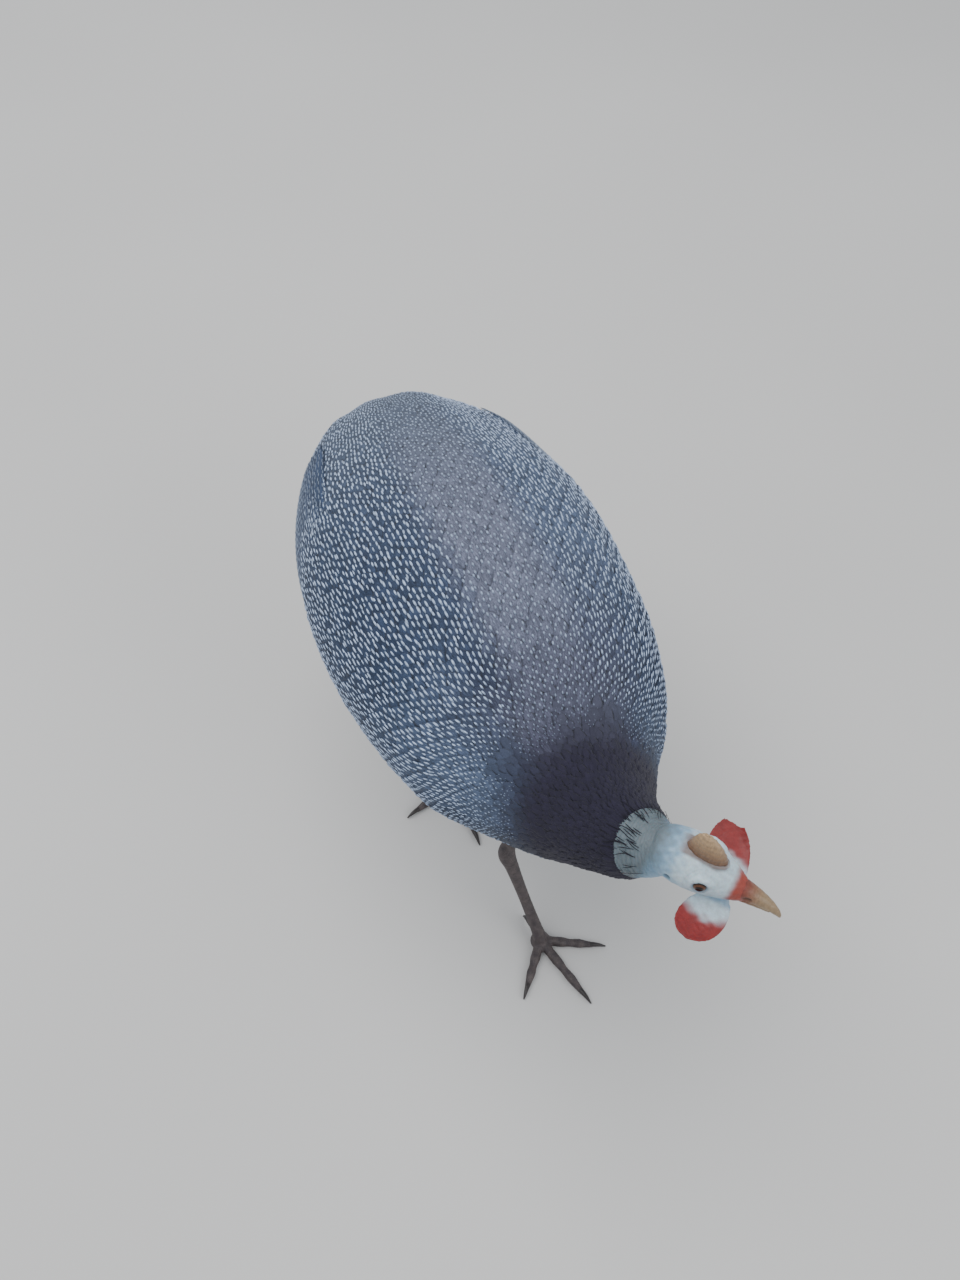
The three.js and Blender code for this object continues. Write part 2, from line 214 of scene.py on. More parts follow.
# The folded wing is a leaf on the body, from the shoulder to a tip over the rump.
WING_SHOULDER, WING_TIP = 0.57, 0.05
WING_EDGES, WING_TIP_ANGLE = (36, 118), 62
WING_PROUD = 4.5 * MM
WING_ROUND = 0.8  # a lower power makes the wing's edges steeper
WING_FIELD = (0.01, 0.97)  # shares of the wing's length that its skin and its coverts fill


def wing_leaf(share):
    """Half width of the wing as a share of its widest: a leaf that is widest before its middle."""
    inner = 0.01 + 0.96 * np.clip(share, 0, 1)
    return np.sin(math.pi * inner**0.8) ** 0.62


def wing_rise(share, across):
    """How far the folded wing stands out from the body."""
    leaf = np.where((share > 0) & (share < 1), wing_leaf(share), 0)
    return WING_PROUD * leaf * np.clip(1 - across**2, 0, 1) ** WING_ROUND


def wing_share(t):
    """Share of the wing's length at a share of the body's line."""
    return (t - WING_SHOULDER) / (WING_TIP - WING_SHOULDER)


def wing_lie(share, most=1.0):
    """Degrees from the top at which the wing's middle line lies, and its half width in degrees."""
    centre = mix(sum(WING_EDGES) / 2, WING_TIP_ANGLE, np.clip(share, 0, most) ** 2)
    return centre, wing_leaf(share) * (WING_EDGES[1] - WING_EDGES[0]) / 2


def wing_place(share, across):
    """Where a point of the wing lies on the body: share of the line and angle from the top, for the left
    wing."""
    centre, half = wing_lie(share, 1.2)
    return WING_SHOULDER + (WING_TIP - WING_SHOULDER) * share, np.radians(centre + across * half)


class Wing:
    """The wing's outer surface: share runs from the shoulder to the tip, across from the upper edge to the
    lower."""

    def __init__(self, hand):
        self.hand = hand

    def __call__(self, share, across, lift=0.0):
        share, across, lift = np.broadcast_arrays(*(np.asarray(v, float) for v in (share, across, lift)))
        t, angle = wing_place(share, across)
        return BODY(t, self.hand * angle, wing_rise(share, across) + folds(t, self.hand * angle) + lift)


def wing_across(t, angle):
    """Where a place of the body lies across the wing, from -1 at its upper edge to 1 at its lower."""
    centre, half = wing_lie(wing_share(t))
    return (np.abs(turned(angle)) - centre) / np.maximum(half, 1e-3)


def wing_bulge(t, angle):
    """How far the folded wing under the coat raises it at a place of the body."""
    return wing_rise(wing_share(t), wing_across(t, angle))


VALLEYS = (0.0017, 0.0011)  # depths of the folds beside the right and the left wing's upper edge
WAVES = (0.0007, 0.0005)  # heights of the coat's slow and its quicker waves


def folds(t, angle):
    """Soft folds of the coat: a valley along each wing's upper edge, and waves."""
    where = turned(angle)
    along = smoothstep(0.08, 0.2, t) * smoothstep(0.6, 0.45, t)
    valley = -VALLEYS[0] * np.exp(-(((where + 16 + 30 * (t - 0.35)) / 9) ** 2)) * along
    valley = valley - VALLEYS[1] * np.exp(-(((where - 30) / 8) ** 2)) * along
    slow = WAVES[0] * np.sin(angle * 5 + t * 17 + 1) * np.sin(t * 23 + 2)
    waves = slow + WAVES[1] * np.sin(angle * 9 - t * 11)
    return valley + waves * smoothstep(0.0, 0.1, t) * smoothstep(0.8, 0.65, t)


def turned(angle):
    """An angle round the body in degrees from the top, from -180 to 180, and positive on the left."""
    return (np.degrees(angle) + 180) % 360 - 180


def coat_surface(t, angle, lift=0.0):
    """The body's outer surface with the folded wings under it."""
    return BODY(t, angle, wing_bulge(t, angle) + folds(t, angle) + lift)


# Meshes


def linked(name, data):
    """A new object in the scene that holds a mesh, a light or a camera."""
    made = bpy.data.objects.new(name, data)
    bpy.context.scene.collection.objects.link(made)
    return made


def new_object(name, vertices, faces):
    mesh = bpy.data.meshes.new(name)
    mesh.from_pydata(np.asarray(vertices).tolist(), [], [list(map(int, f)) for f in faces])
    mesh.update()
    return linked(name, mesh)


def tube_faces(rings, sides, start=0):
    """Quads between rings of equally many points, and a fan of triangles on each end."""
    faces = []
    for i in range(rings - 1):
        for j in range(sides):
            k = (j + 1) % sides
            low = start + i * sides
            faces.append((low + j, low + k, low + sides + k, low + sides + j))
    first, last = start + rings * sides, start + rings * sides + 1
    end = start + (rings - 1) * sides
    for j in range(sides):
        k = (j + 1) % sides
        faces.append((first, start + k, start + j))
        faces.append((last, end + j, end + k))
    return faces


def closed_rings(grid):
    """Vertices and faces of a closed body through a grid of rings, shaped (rings, sides, 3)."""
    rings, sides = grid.shape[:2]
    ends = [grid[0].mean(0), grid[-1].mean(0)]
    return np.vstack([grid.reshape(-1, 3), ends]), tube_faces(rings, sides)


def loft_body(loft, rings, sides, lift=0.0):
    t, angle = crossed(np.linspace(0, 1, rings), full_turn(sides))
    return closed_rings(loft(t, angle, lift))


WING_THICK = 0.012  # of the leaf under the wing's surface


def wing_body(hand, lift):
    """A thick leaf under the wing's surface, for the skin."""
    share, across = crossed(np.linspace(*WING_FIELD, 40), np.linspace(-1, 1, 16))
    outer = Wing(hand)(share, across, lift)
    inner = Wing(hand)(share, across, lift - WING_THICK)
    return closed_rings(np.concatenate([outer, inner[:, ::-1]], axis=1))


def merged(bodies):
    """Vertices and faces of several bodies as one list each."""
    vertices, faces, start = [], [], 0
    for points, sides in bodies:
        vertices.append(points)
        faces.extend(tuple(i + start for i in face) for face in sides)
        start += len(points)
    return np.vstack(vertices), faces


def fused(name, bodies, voxel, smooth):
    """One closed skin round overlapping bodies."""
    made = new_object(name, *merged(bodies))
    fix_normals(made)
    modifier = made.modifiers.new("fuse", "REMESH")
    modifier.mode = "VOXEL"
    modifier.voxel_size = voxel
    if smooth:
        relax = made.modifiers.new("relax", "SMOOTH")
        relax.factor = 0.5
        relax.iterations = smooth
    mesh = bpy.data.meshes.new_from_object(made.evaluated_get(bpy.context.evaluated_depsgraph_get()))
    made.modifiers.clear()
    old = made.data
    made.data = mesh
    bpy.data.meshes.remove(old)
    return made


def fix_normals(made):
    """Turns the faces of every separate body of a mesh outwards."""
    bpy.context.view_layer.objects.active = made
    bpy.ops.object.select_all(action="DESELECT")
    made.select_set(True)
    bpy.ops.object.mode_set(mode="EDIT")
    bpy.ops.mesh.select_all(action="SELECT")
    bpy.ops.mesh.normals_make_consistent(inside=False)
    bpy.ops.object.mode_set(mode="OBJECT")


def vertex_values(made, key):
    """The mesh's points for the key co, or its normals for the key normal."""
    values = np.empty(len(made.data.vertices) * 3)
    made.data.vertices.foreach_get(key, values)
    return values.reshape(-1, 3)


def move_points(made, points):
    made.data.vertices.foreach_set("co", points.reshape(-1))
    made.data.update()


def store(made, name, values):
    """Keeps a colour or a vector for each vertex."""
    kind, key = "FLOAT_VECTOR", "vector"
    if name == "marking":
        kind, key = "FLOAT_COLOR", "color"
        values = np.hstack([values, np.ones((len(values), 1))])
    layer = made.data.attributes.new(name, kind, "POINT")
    layer.data.foreach_set(key, values.reshape(-1).astype(np.float32))


def finish_piece(made, nodes=(), material=None):
    if material:
        made.data.materials.append(material)
    made.data.shade_smooth()
    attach(made, ROOT)
    if nodes:
        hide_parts(*nodes)
    return made


# Colours


def linear(red, green, blue):
    """A colour given as a screen shows it, 0 to 255, in linear light."""
    c = np.array([red, green, blue]) / 255
    return np.where(c <= 0.04045, c / 12.92, ((c + 0.055) / 1.055) ** 2.4)


SLATE = linear(70, 82, 103)
# SLATE made paler, for the painted light on the left shoulder and the right breast
SLATE_PAINTED_LIGHT = SLATE * 1.35
BACK = linear(97, 101, 119)
RUMP = linear(74, 84, 101)
BELLY = linear(60, 69, 87)
WING_NAVY = linear(42, 55, 78)
NECK = linear(38, 35, 53)
PEARL = linear(180, 197, 225)
FACE_WHITE = linear(190, 208, 217)
FACE_BLUE = linear(126, 160, 186)
NAPE_BLUE = linear(98, 110, 117)
WATTLE_RED = linear(136, 46, 45)
CERE_RED = linear(150, 62, 50)
HORN_DARK = linear(96, 60, 40)
HORN_PALE = linear(190, 160, 122)
LEG_DARK = linear(62, 54, 58)
LEG_PALE = linear(108, 96, 92)
CLAW_DARK = linear(44, 38, 38)


def plumage_marking(t, angle):
    """The coat's and the skin's ground colour at a share of the body's line and an angle from the top, with
    painted light: paler patches on the left shoulder and the right breast, where the light falls.
    """
    height, where = np.cos(angle), turned(angle)
    back, belly = smoothstep(0.55, 0.95, height), smoothstep(0.2, -0.7, height)
    rump = smoothstep(0.42, 0.12, t) * smoothstep(0.2, 0.7, height)
    # Painted light: paler patches on the left shoulder and the right breast, where the light falls.
    shoulder_painted_light = smoothstep(6, 26, where) * smoothstep(80, 55, where) * smoothstep(0.56, 0.4, t)
    breast_painted_light = smoothstep(0.47, 0.6, t) * smoothstep(-24, -40, where) * smoothstep(-115, -85, where)
    neck_base = smoothstep(0.5, 0.64, t) * smoothstep(0.3, 0.8, height)
    tone = mix(mix(SLATE, BACK, back), BELLY, belly)
    tone = mix(mix(tone, WING_NAVY, 0.9 * streaked(t, angle)), RUMP, rump)
    tone = mix(tone, SLATE_PAINTED_LIGHT, 0.65 * np.maximum(shoulder_painted_light, breast_painted_light))
    tone = mix(tone, NECK, 0.45 * neck_base)
    return mix(tone, NECK, smoothstep(NECK_FROM - 0.01, NECK_FROM + 0.09, t))


def streaked(t, angle):
    """How far the long streaks of the wing coverts take the place of round spots. On the bird's right the
    coverts lie up to the middle of the back."""
    where = turned(angle)
    left = smoothstep(8, 26, where) * mix_each(1.0, 0.6, smoothstep(0.3, 0.45, t) * smoothstep(62, 40, where))
    sides = np.maximum(smoothstep(-10, -24, where), left)
    return sides * smoothstep(134, 112, np.abs(where)) * smoothstep(0.08, 0.17, t) * smoothstep(0.68, 0.56, t)


def body_place(points):
    """Share of the body's line and angle from the top for points near it."""
    shares = np.linspace(0, 1, 241)
    centre, _, side, up = BODY.frame_at(shares)
    at_once = 4000  # points, so that the distances fit in memory
    nearest = np.concatenate([
        np.argmin(((points[start : start + at_once, None] - centre[None]) ** 2).sum(-1), axis=1)
        for start in range(0, len(points), at_once)
    ])
    away = points - centre[nearest]
    return shares[nearest], np.arctan2((away * side[nearest]).sum(-1), (away * up[nearest]).sum(-1))


# Shaders


class Shader:
    """A procedural material: a principled shader and short ways to add nodes to it."""

    def __init__(self, name):
        self.material = bpy.data.materials.new(name)
        self.material.use_nodes = True
        self.tree = self.material.node_tree
        self.main = self.tree.nodes["Principled BSDF"]

    def feed(self, socket, value):
        """Links an output to a socket, or gives the socket a fixed value."""
        if isinstance(value, bpy.types.NodeSocket):
            self.tree.links.new(value, socket)
        else:
            socket.default_value = value

    def node(self, kind, inputs=(), **settings):
        made = self.tree.nodes.new(kind)
        for key, value in settings.items():
            setattr(made, key, value)
        for socket, value in dict(inputs).items():
            self.feed(made.inputs[socket], value)
        return made

    def place(self):
        return self.node("ShaderNodeTexCoord").outputs["Object"]

    def vane_place(self):
        return self.node("ShaderNodeAttribute", attribute_name="vane").outputs["Vector"]

    def noise(self, scale, detail=3.0, vector=None, roughness=0.55):
        inputs = {"Scale": scale, "Detail": detail, "Roughness": roughness, "Vector": vector or self.place()}
        return self.node("ShaderNodeTexNoise", inputs).outputs["Fac"]

    def ramp(self, value, *stops):
        made = self.node("ShaderNodeValToRGB", {"Fac": value})
        for stop, (at, colour) in zip(made.color_ramp.elements, stops):
            stop.position = at
            stop.color = (*colour, 1)
        return made.outputs["Color"]

    def grey_ramp(self, value, low, high, dark, light):
        return self.ramp(value, (low, (dark,) * 3), (high, (light,) * 3))

    def mottle(self, value, dark, light):
        """A noise as a factor between dark and light, with its rare extremes cut off."""
        return self.grey_ramp(value, 0.3, 0.7, dark, light)

    def blend(self, a, b, share=1.0, how="MULTIPLY"):
        inputs = {"Factor": share, "A": a, "B": b}
        return self.node("ShaderNodeMix", inputs, data_type="RGBA", blend_type=how).outputs["Result"]

    def marked(self, factor, share=1.0):
        """The colour kept at the vertices, times a factor."""
        marking = self.node("ShaderNodeAttribute", attribute_name="marking")
        return self.blend(marking.outputs["Color"], factor, share)

    def math(self, operation, a, b=0.0):
        return self.node("ShaderNodeMath", {0: a, 1: b}, operation=operation).outputs["Value"]

    def bump(self, height, distance, strength=1.0):
        made = self.node("ShaderNodeBump", {"Height": height, "Distance": distance, "Strength": strength})
        self.feed(self.main.inputs["Normal"], made.outputs["Normal"])

    def set(self, **values):
        for key, value in values.items():
            self.feed(self.main.inputs[key.replace("_", " ")], value)
        return self.material


BARBS, BARB_SLANT = 60.0, -26.0  # waves of the barbs along a vane, and how far they lean towards its tip
STREAKS = (5.0, 8.0, 60.0)  # how fine the streaks are along a vane, across it and from one vane to the next


def feather_material(name, vermiculation, edge_share):
    """Vanes: the marking colour with fine pale vermiculation, barbs that slant off the shaft, a paler
    edge."""
    s = Shader(name)
    vane = s.node("ShaderNodeSeparateXYZ", {"Vector": s.vane_place()}).outputs
    off_shaft = s.math("ABSOLUTE", vane["Y"])
    slant = s.math("ADD", s.math("MULTIPLY", vane["X"], BARBS), s.math("MULTIPLY", off_shaft, BARB_SLANT))
    fine, coarse = s.noise(1400.0, 4.0), s.noise(160.0)
    where = s.node("ShaderNodeMapping", {"Vector": s.vane_place(), "Scale": STREAKS})
    streaks = s.noise(1.0, 5.0, where.outputs["Vector"], 0.65)
    tone = s.marked(s.grey_ramp(fine, 0.35, 0.7, 0.8, 1.0 + vermiculation * 0.5))
    tone = s.blend(tone, s.grey_ramp(streaks, 0.34, 0.66, 1.0 - vermiculation * 0.75, 1.0 + vermiculation))
    tone = s.blend(tone, s.grey_ramp(coarse, 0.3, 0.75, 0.86, 1.14))
    edge = s.grey_ramp(off_shaft, 0.72, 1.0, 0.0, edge_share)
    tone = s.blend(tone, (*BACK * 1.7, 1), edge, "MIX")
    barbs = s.math("MULTIPLY", s.math("SINE", slant), 0.35)
    s.bump(s.math("ADD", barbs, s.math("ADD", fine, streaks)), 0.00025, 0.5)
    return s.set(Base_Color=tone, Roughness=s.grey_ramp(coarse, 0.2, 0.8, 0.6, 0.8), Sheen_Weight=0.06,
                 Sheen_Roughness=0.5, Specular_IOR_Level=0.22)


def mottled_material(name, scale, dark, light, bump=None, **values):
    """The marking colour with a mottle of one scale, and perhaps a bump of (scale, depth, strength)."""
    s = Shader(name)
    if bump:
        s.bump(s.noise(bump[0], 4.0), *bump[1:])
    return s.set(Base_Color=s.marked(s.mottle(s.noise(scale), dark, light)), **values)


def pearl_material():
    return mottled_material("pearl_spots", 900.0, 0.8, 1.1, (2200.0, 0.0001, 0.4), Roughness=0.6,
                            Sheen_Weight=0.05, Specular_IOR_Level=0.25)


def skin_bed_material():
    """The feathered skin, which only shows where the coat parts."""
    return mottled_material("feathered_skin", 700.0, 0.5, 0.85, (900.0, 0.0004, 0.6), Roughness=0.8)


def eye_material():
    """A fine pattern over the pupil and the iris, which the vertices' marking tells apart."""
    return mottled_material("eye", 3000.0, 0.7, 1.3, Roughness=0.14, Coat_Weight=0.25, Coat_Roughness=0.03,
                            Specular_IOR_Level=0.35)


def bare_skin_material():
    s = Shader("bare_skin")
    blotches = s.noise(420.0, 4.0)
    pits = s.node("ShaderNodeTexVoronoi", {"Scale": 1300.0, "Vector": s.place()}).outputs["Distance"]
    s.bump(s.math("ADD", s.noise(1500.0, 5.0), s.math("MULTIPLY", pits, 0.8)), 0.00022, 0.5)
    return s.set(Base_Color=s.marked(s.mottle(blotches, 0.84, 1.1)), Subsurface_Weight=0.12,
                 Roughness=s.grey_ramp(blotches, 0.2, 0.8, 0.42, 0.6), Subsurface_Scale=0.002,
                 Specular_IOR_Level=0.45)


def leg_skin_material():
    s = Shader("leg_scales")
    cells = s.node("ShaderNodeTexVoronoi", {"Scale": 620.0, "Vector": s.place()}, feature="DISTANCE_TO_EDGE")
    groove = s.grey_ramp(cells.outputs["Distance"], 0.0, 0.12, 0.45, 1.0)
    s.bump(groove, 0.0003, 0.6)
    tone = s.blend(s.marked(groove, 0.8), s.mottle(s.noise(260.0), 0.75, 1.2))
    return s.set(Base_Color=tone, Roughness=0.5, Specular_IOR_Level=0.5)


def horn_material(name, roughness=0.42):
    """Horn, with a grain that is drawn out upwards."""
    s = Shader(name)
    stretched = s.node("ShaderNodeMapping", {"Vector": s.place(), "Scale": (1.0, 1.0, 0.3)}).outputs["Vector"]
    grain = s.noise(900.0, 5.0, stretched)
    s.bump(grain, 0.0002, 0.5)
    return s.set(Base_Color=s.marked(s.mottle(grain, 0.75, 1.15)), Roughness=roughness,
                 Specular_IOR_Level=0.5, Coat_Weight=0.15, Coat_Roughness=0.3)


# Feathers

# The outlines of a short vane and of a long one: shares of its length, and its half width there as a share of
# the widest.
SHORT = (np.array([0.0, 0.22, 0.48, 0.72, 0.9, 1.0]), np.array([0.3, 0.78, 1.0, 0.95, 0.66, 0.22]))
LONG = (np.linspace(0, 1, 12), np.array([0.35, 0.7, 0.9, 1, 1, 1, 1, 1, 0.98, 0.9, 0.66, 0.2]))
VANE_ACROSS = np.linspace(-1, 1, 5)
TRACK_STEPS = 6  # in which the middle line of a vane is walked over its surface
VANE_CURVE = 1.6  # a vane leaves the skin steeply and ends flat for a higher power


def metric(surface, a, b):
    """Metres per unit of each of a surface's two coordinates, at points of it."""
    step = 1e-3
    here = surface(a, b)
    ahead, beside = surface(a + step, b) - here, surface(a, b + step) - here
    return np.linalg.norm(ahead, axis=-1) / step, np.linalg.norm(beside, axis=-1) / step


class Tract:
    """A field of vanes that lie on a surface. Each has a root (a, b) there, a length, a half width, heights
    over the surface at its root and its tip, a skew as a share of its length, and a camber, by which its
    sides are lower than its middle. toward is the sign of a along the lie."""

    def __init__(self, surface, a, b, length, width, low, high, toward, outline=SHORT, skew=0.0,
                 camber=0.0007):
        self.surface, self.toward, self.outline = surface, toward, outline
        self.length, self.width, self.skew, self.low, self.high, self.camber = (
            np.broadcast_to(np.asarray(v, float), a.shape) for v in (length, width, skew, low, high, camber)
        )
        self.a, self.b, self.per_b = a, b, metric(surface, a, b)[1]
        self.track = self.walked()

    def walked(self):
        """The values of a at equal steps along every vane, from its root to its tip."""
        step = self.toward * self.length / TRACK_STEPS
        path = [self.a]
        for _ in range(TRACK_STEPS):
            half_way = path[-1] + step / 2 / metric(self.surface, path[-1], self.b)[0]
            path.append(path[-1] + step / metric(self.surface, half_way, self.b)[0])
        return np.stack(path, axis=1)

    def at(self, along, across, lift=0.0, fixed_width=False):
        """Points of every vane at shares of its length and of its half width; rows are vanes."""
        along, across, _ = np.broadcast_arrays(np.atleast_2d(along), np.atleast_2d(across), self.a[:, None])
        width, sloping, rise, camber = (
            v[:, None] for v in (self.width, self.skew * self.length, self.high - self.low, self.camber)
        )
        before = np.clip((along * TRACK_STEPS).astype(int), 0, TRACK_STEPS - 1)
        from_a, to_a = (np.take_along_axis(self.track, i, 1) for i in (before, before + 1))
        reach = 1.0 if fixed_width else np.interp(along, *self.outline)
        b = self.b[:, None] + (across * reach * width + along * sloping) / self.per_b[:, None]
        height = self.high[:, None] - rise * np.clip(1 - along, 0, 1) ** VANE_CURVE
        height = height - camber * across**2 * np.minimum(1, along * 2)
        return self.surface(mix_each(from_a, to_a, along * TRACK_STEPS - before), b, height + lift)

    def chosen(self, keep):
        """The same field with only some of its vanes."""
        made = copy(self)
        for key in ("a", "b", "length", "width", "skew", "low", "high", "camber", "per_b", "track"):
            setattr(made, key, getattr(self, key)[keep])
        return made


def for_each(count, size, faces):
    """The faces of one body, repeated for count bodies of size vertices."""
    faces = np.array(faces)
    return (faces[None] + (np.arange(count) * size)[:, None, None]).reshape(-1, faces.shape[1])


def vanes(tract):
    """A tract's vanes, with cupped tops and plain undersides: vertices, quads, and each vertex's share
    along, share across and the chance number of its vane."""
    rows, columns = len(tract.outline[0]), len(VANE_ACROSS)
    along, across = (v.ravel() for v in crossed(tract.outline[0], VANE_ACROSS))
    top = np.arange(rows * columns).reshape(rows, columns)
    faces = []
    for i in range(rows - 1):
        for j in range(columns - 1):
            faces.append((top[i, j], top[i + 1, j], top[i + 1, j + 1], top[i, j + 1]))
        faces.append((top[i, 0], top[i, -1], top[i + 1, -1], top[i + 1, 0]))
    points = tract.at(along, across)
    count, size = points.shape[:2]
    chance = np.repeat(rng.random(count), size)
    where = np.stack([np.tile(along, count), np.tile(across, count), chance], axis=1)
    return points.reshape(-1, 3), for_each(count, size, faces), where


DOT_SIDES = 8
DOT_RIM, DOT_TOP, DOT_UNDER = 0.0001, 0.00042, -0.0002  # heights over the feather


def dots(tract, along, across, long, wide):
    """A low lens at a place on every vane of a tract: its half length and half width in metres."""
    turn = full_turn(DOT_SIDES)
    rim_along = along + np.append(np.cos(turn), [0, 0]) * (long / tract.length)[:, None]
    rim_across = across + np.append(np.sin(turn), [0, 0]) * (wide / tract.width)[:, None]
    rise = np.append(np.full(DOT_SIDES, DOT_RIM), [DOT_TOP, DOT_UNDER])
    points = tract.at(rim_along, rim_across, rise, fixed_width=True)
    top, under = DOT_SIDES, DOT_SIDES + 1
    faces = []
    for j in range(DOT_SIDES):
        k = (j + 1) % DOT_SIDES
        faces += [(j, top, k), (k, under, j)]
    if tract.toward < 0:
        faces = [face[::-1] for face in faces]
    return points.reshape(-1, 3), for_each(*points.shape[:2], faces)


def raw_mesh(name, points, polygons):
    """A mesh from an array of faces that all have the same number of corners."""
    mesh = bpy.data.meshes.new(name)
    mesh.vertices.add(len(points))
    mesh.vertices.foreach_set("co", points.reshape(-1).astype(np.float32))
    mesh.loops.add(polygons.size)
    mesh.loops.foreach_set("vertex_index", polygons.reshape(-1).astype(np.int32))
    mesh.polygons.add(len(polygons))
    mesh.polygons.foreach_set("loop_start", np.arange(0, polygons.size, polygons.shape[1], dtype=np.int32))
    mesh.update(calc_edges=True)
    return linked(name, mesh)


PATCH = 0.003  # width of a feather's patch on the colour map
MAP_EDGE = 0.02  # left free round the map


def map_place(t, angle):
    """A root's place on the unwrapped body: round it across the map, and along it up the map."""
    across = (angle / (2 * math.pi)) % 1.0
    return MAP_EDGE + (1 - 2 * MAP_EDGE) * np.stack([across, np.clip(t, 0, 1)], axis=-1)


def coat_piece(name, parts, material):
    """One piece from the parts of a coat, with their small patches on the map."""
    points, marking, where, place = (np.vstack([part[i] for part in parts]) for i in (0, 2, 3, 4))
    starts = np.cumsum([0] + [len(part[0]) for part in parts])
    faces = np.vstack([part[1] + start for part, start in zip(parts, starts)])
    made = raw_mesh(name, points, faces)
    store(made, "marking", marking)
    store(made, "vane", where)
    bake = made.data.uv_layers.new(name="OFBake")
    at = place + (where[:, :2] * [1, 0.5] - [0.5, 0]) * PATCH
    bake.data.foreach_set("uv", np.clip(at, 0, 1)[faces.reshape(-1)].reshape(-1).astype(np.float32))
    return finish_piece(made, material=material)


def coat_part(points, faces, where, tone, light, t, angle):
    """A part of a coat piece: vertices, faces, and each vertex's marking, vane place and map place. tone is
    one colour or one for each feather, and light, t and angle hold one value for each."""
    size = len(points) // len(t)
    marking, place = (np.repeat(v, size, axis=0) for v in (tone * light, map_place(t, angle)))
    return points, faces, marking, where, place


def feather_part(tract, t, angle, tone):
    points, quads, where = vanes(tract)
    faces = quads if tract.toward < 0 else quads[:, ::-1]
    return coat_part(points, faces, where, tone, 0.88 + 0.24 * rng.random((len(t), 1)), t, angle)


def dot_part(tract, t, angle, tone, along, across, long, wide, sway=0.0):
    points, triangles = dots(tract, along + np.reshape(sway, (-1, 1)), across, long, wide)
    where = np.zeros((len(points), 3)) + [0.5, 0.0, 0.0]
    return coat_part(points, triangles, where, tone, 0.8 + 0.4 * rng.random((len(t), 1)), t, angle)


def spotted(tract, t, angle, tone, pearl, places, long, wide):
    """The feathers of a tract, and spots at the places (along, across) on each."""
    feathers = [feather_part(tract, t, angle, tone)]
    return feathers, [dot_part(tract, t, angle, pearl, *place, long, wide) for place in places]


def even_shares(surface, b, low, high, spacing_low, spacing_high):
    """Shares from low to high whose distance on the surface goes from one spacing to the other."""
    fine = np.linspace(low, high, 800)
    steps = np.linalg.norm(np.diff(surface(fine, np.full_like(fine, b)), axis=0), axis=1)
    walked = np.append(0, np.cumsum(steps / np.linspace(spacing_low, spacing_high, len(steps))))
    return np.interp(np.arange(0, walked[-1]), walked, fine)


def staggered(shares, columns):
    """Roots in rows round a surface at shares along it, each row turned by half a column from the last."""
    step = 2 * math.pi / columns
    angle = [step * np.arange(columns) + 0.5 * step * (row % 2) for row in range(len(shares))]
    return np.repeat(shares, columns), np.concatenate(angle)


def lattice(low, high, row, columns):
    """Roots in rows round the body that are equally far apart on each of its lines from low to high, and
    the number of the line of spots on which each lies. Every row is turned by two thirds of a column from
    the last, so that the spots of all rows stand on the same lines along the body."""
    fine, lines = np.linspace(low, high, 500), np.linspace(0, 2 * math.pi, 73)
    steps = np.linalg.norm(np.diff(BODY(fine[:, None], lines[None]), axis=0), axis=-1)
    walked = np.vstack([np.zeros(len(lines)), np.cumsum(steps, axis=0)])
    rows = round(walked[-1].mean() / row)
    shares = (np.arange(rows) + 0.5) / rows
    row_t = np.stack([np.interp(shares, w / w[-1], fine) for w in walked.T], axis=1)
    t, angle, line = [], [], []
    for i in range(rows):
        line.append(3 * np.arange(columns) + 2 * i % 3)
        angle.append(line[-1] * 2 * math.pi / (3 * columns))
        t.append(np.interp(angle[-1] % (2 * math.pi), lines, row_t[i]))
    return np.concatenate(t), np.concatenate(angle), np.concatenate(line)


def body_regions(t, angle):
    """Masks of the roots on the two wings, on the back and on the underparts."""
    share = wing_share(t)
    wing = (np.abs(wing_across(t, angle)) < 1) & (share > WING_FIELD[0]) & (share < WING_FIELD[1])
    left, high = turned(angle) > 0, np.cos(angle) > 0.1
    return {"coverts_left": wing & left, "coverts_right": wing & ~left, "feathers_back": ~wing & high,
            "feathers_underparts": ~wing & ~high}


def under_quills(t, angle):
    """True for roots in the field of the long flight feathers, which starts with a slanting edge."""
    share, across = wing_share(t), wing_across(t, angle)
    start = 0.44 + 0.22 * np.abs(across - 0.55) ** 1.5
    return (share > start) & (share < 0.84) & (across > -0.5) & (across < 0.93)


COAT = 0.0034  # depth of the body's coat: the skin lies this far inside the solids
COLUMNS = 60  # contour feathers round the body
ROW = 0.0049  # from one row of them to the next
FEATHER = 0.023  # length of a contour feather on the back
SUNK = 0.0016  # how much lower the coverts under the flight feathers lie
SPOT_LINES = (-1, 0, 1)  # where the spots at a feather's end stand across it, in thirds of a column
SPOT_AT = 0.91  # share of the feather's length at which they stand, or half a row nearer its root
SPOT_ASIDE = 0.49  # share of the half width at which the outer two stand
SPOT, STREAK = (0.0014, 0.00068), (0.0023, 0.00072)  # half length and half width
WIDE_COLUMN = 0.010  # width of a column from which on spots have their full size
NARROW_COLUMN = 0.0032  # and under which there are none


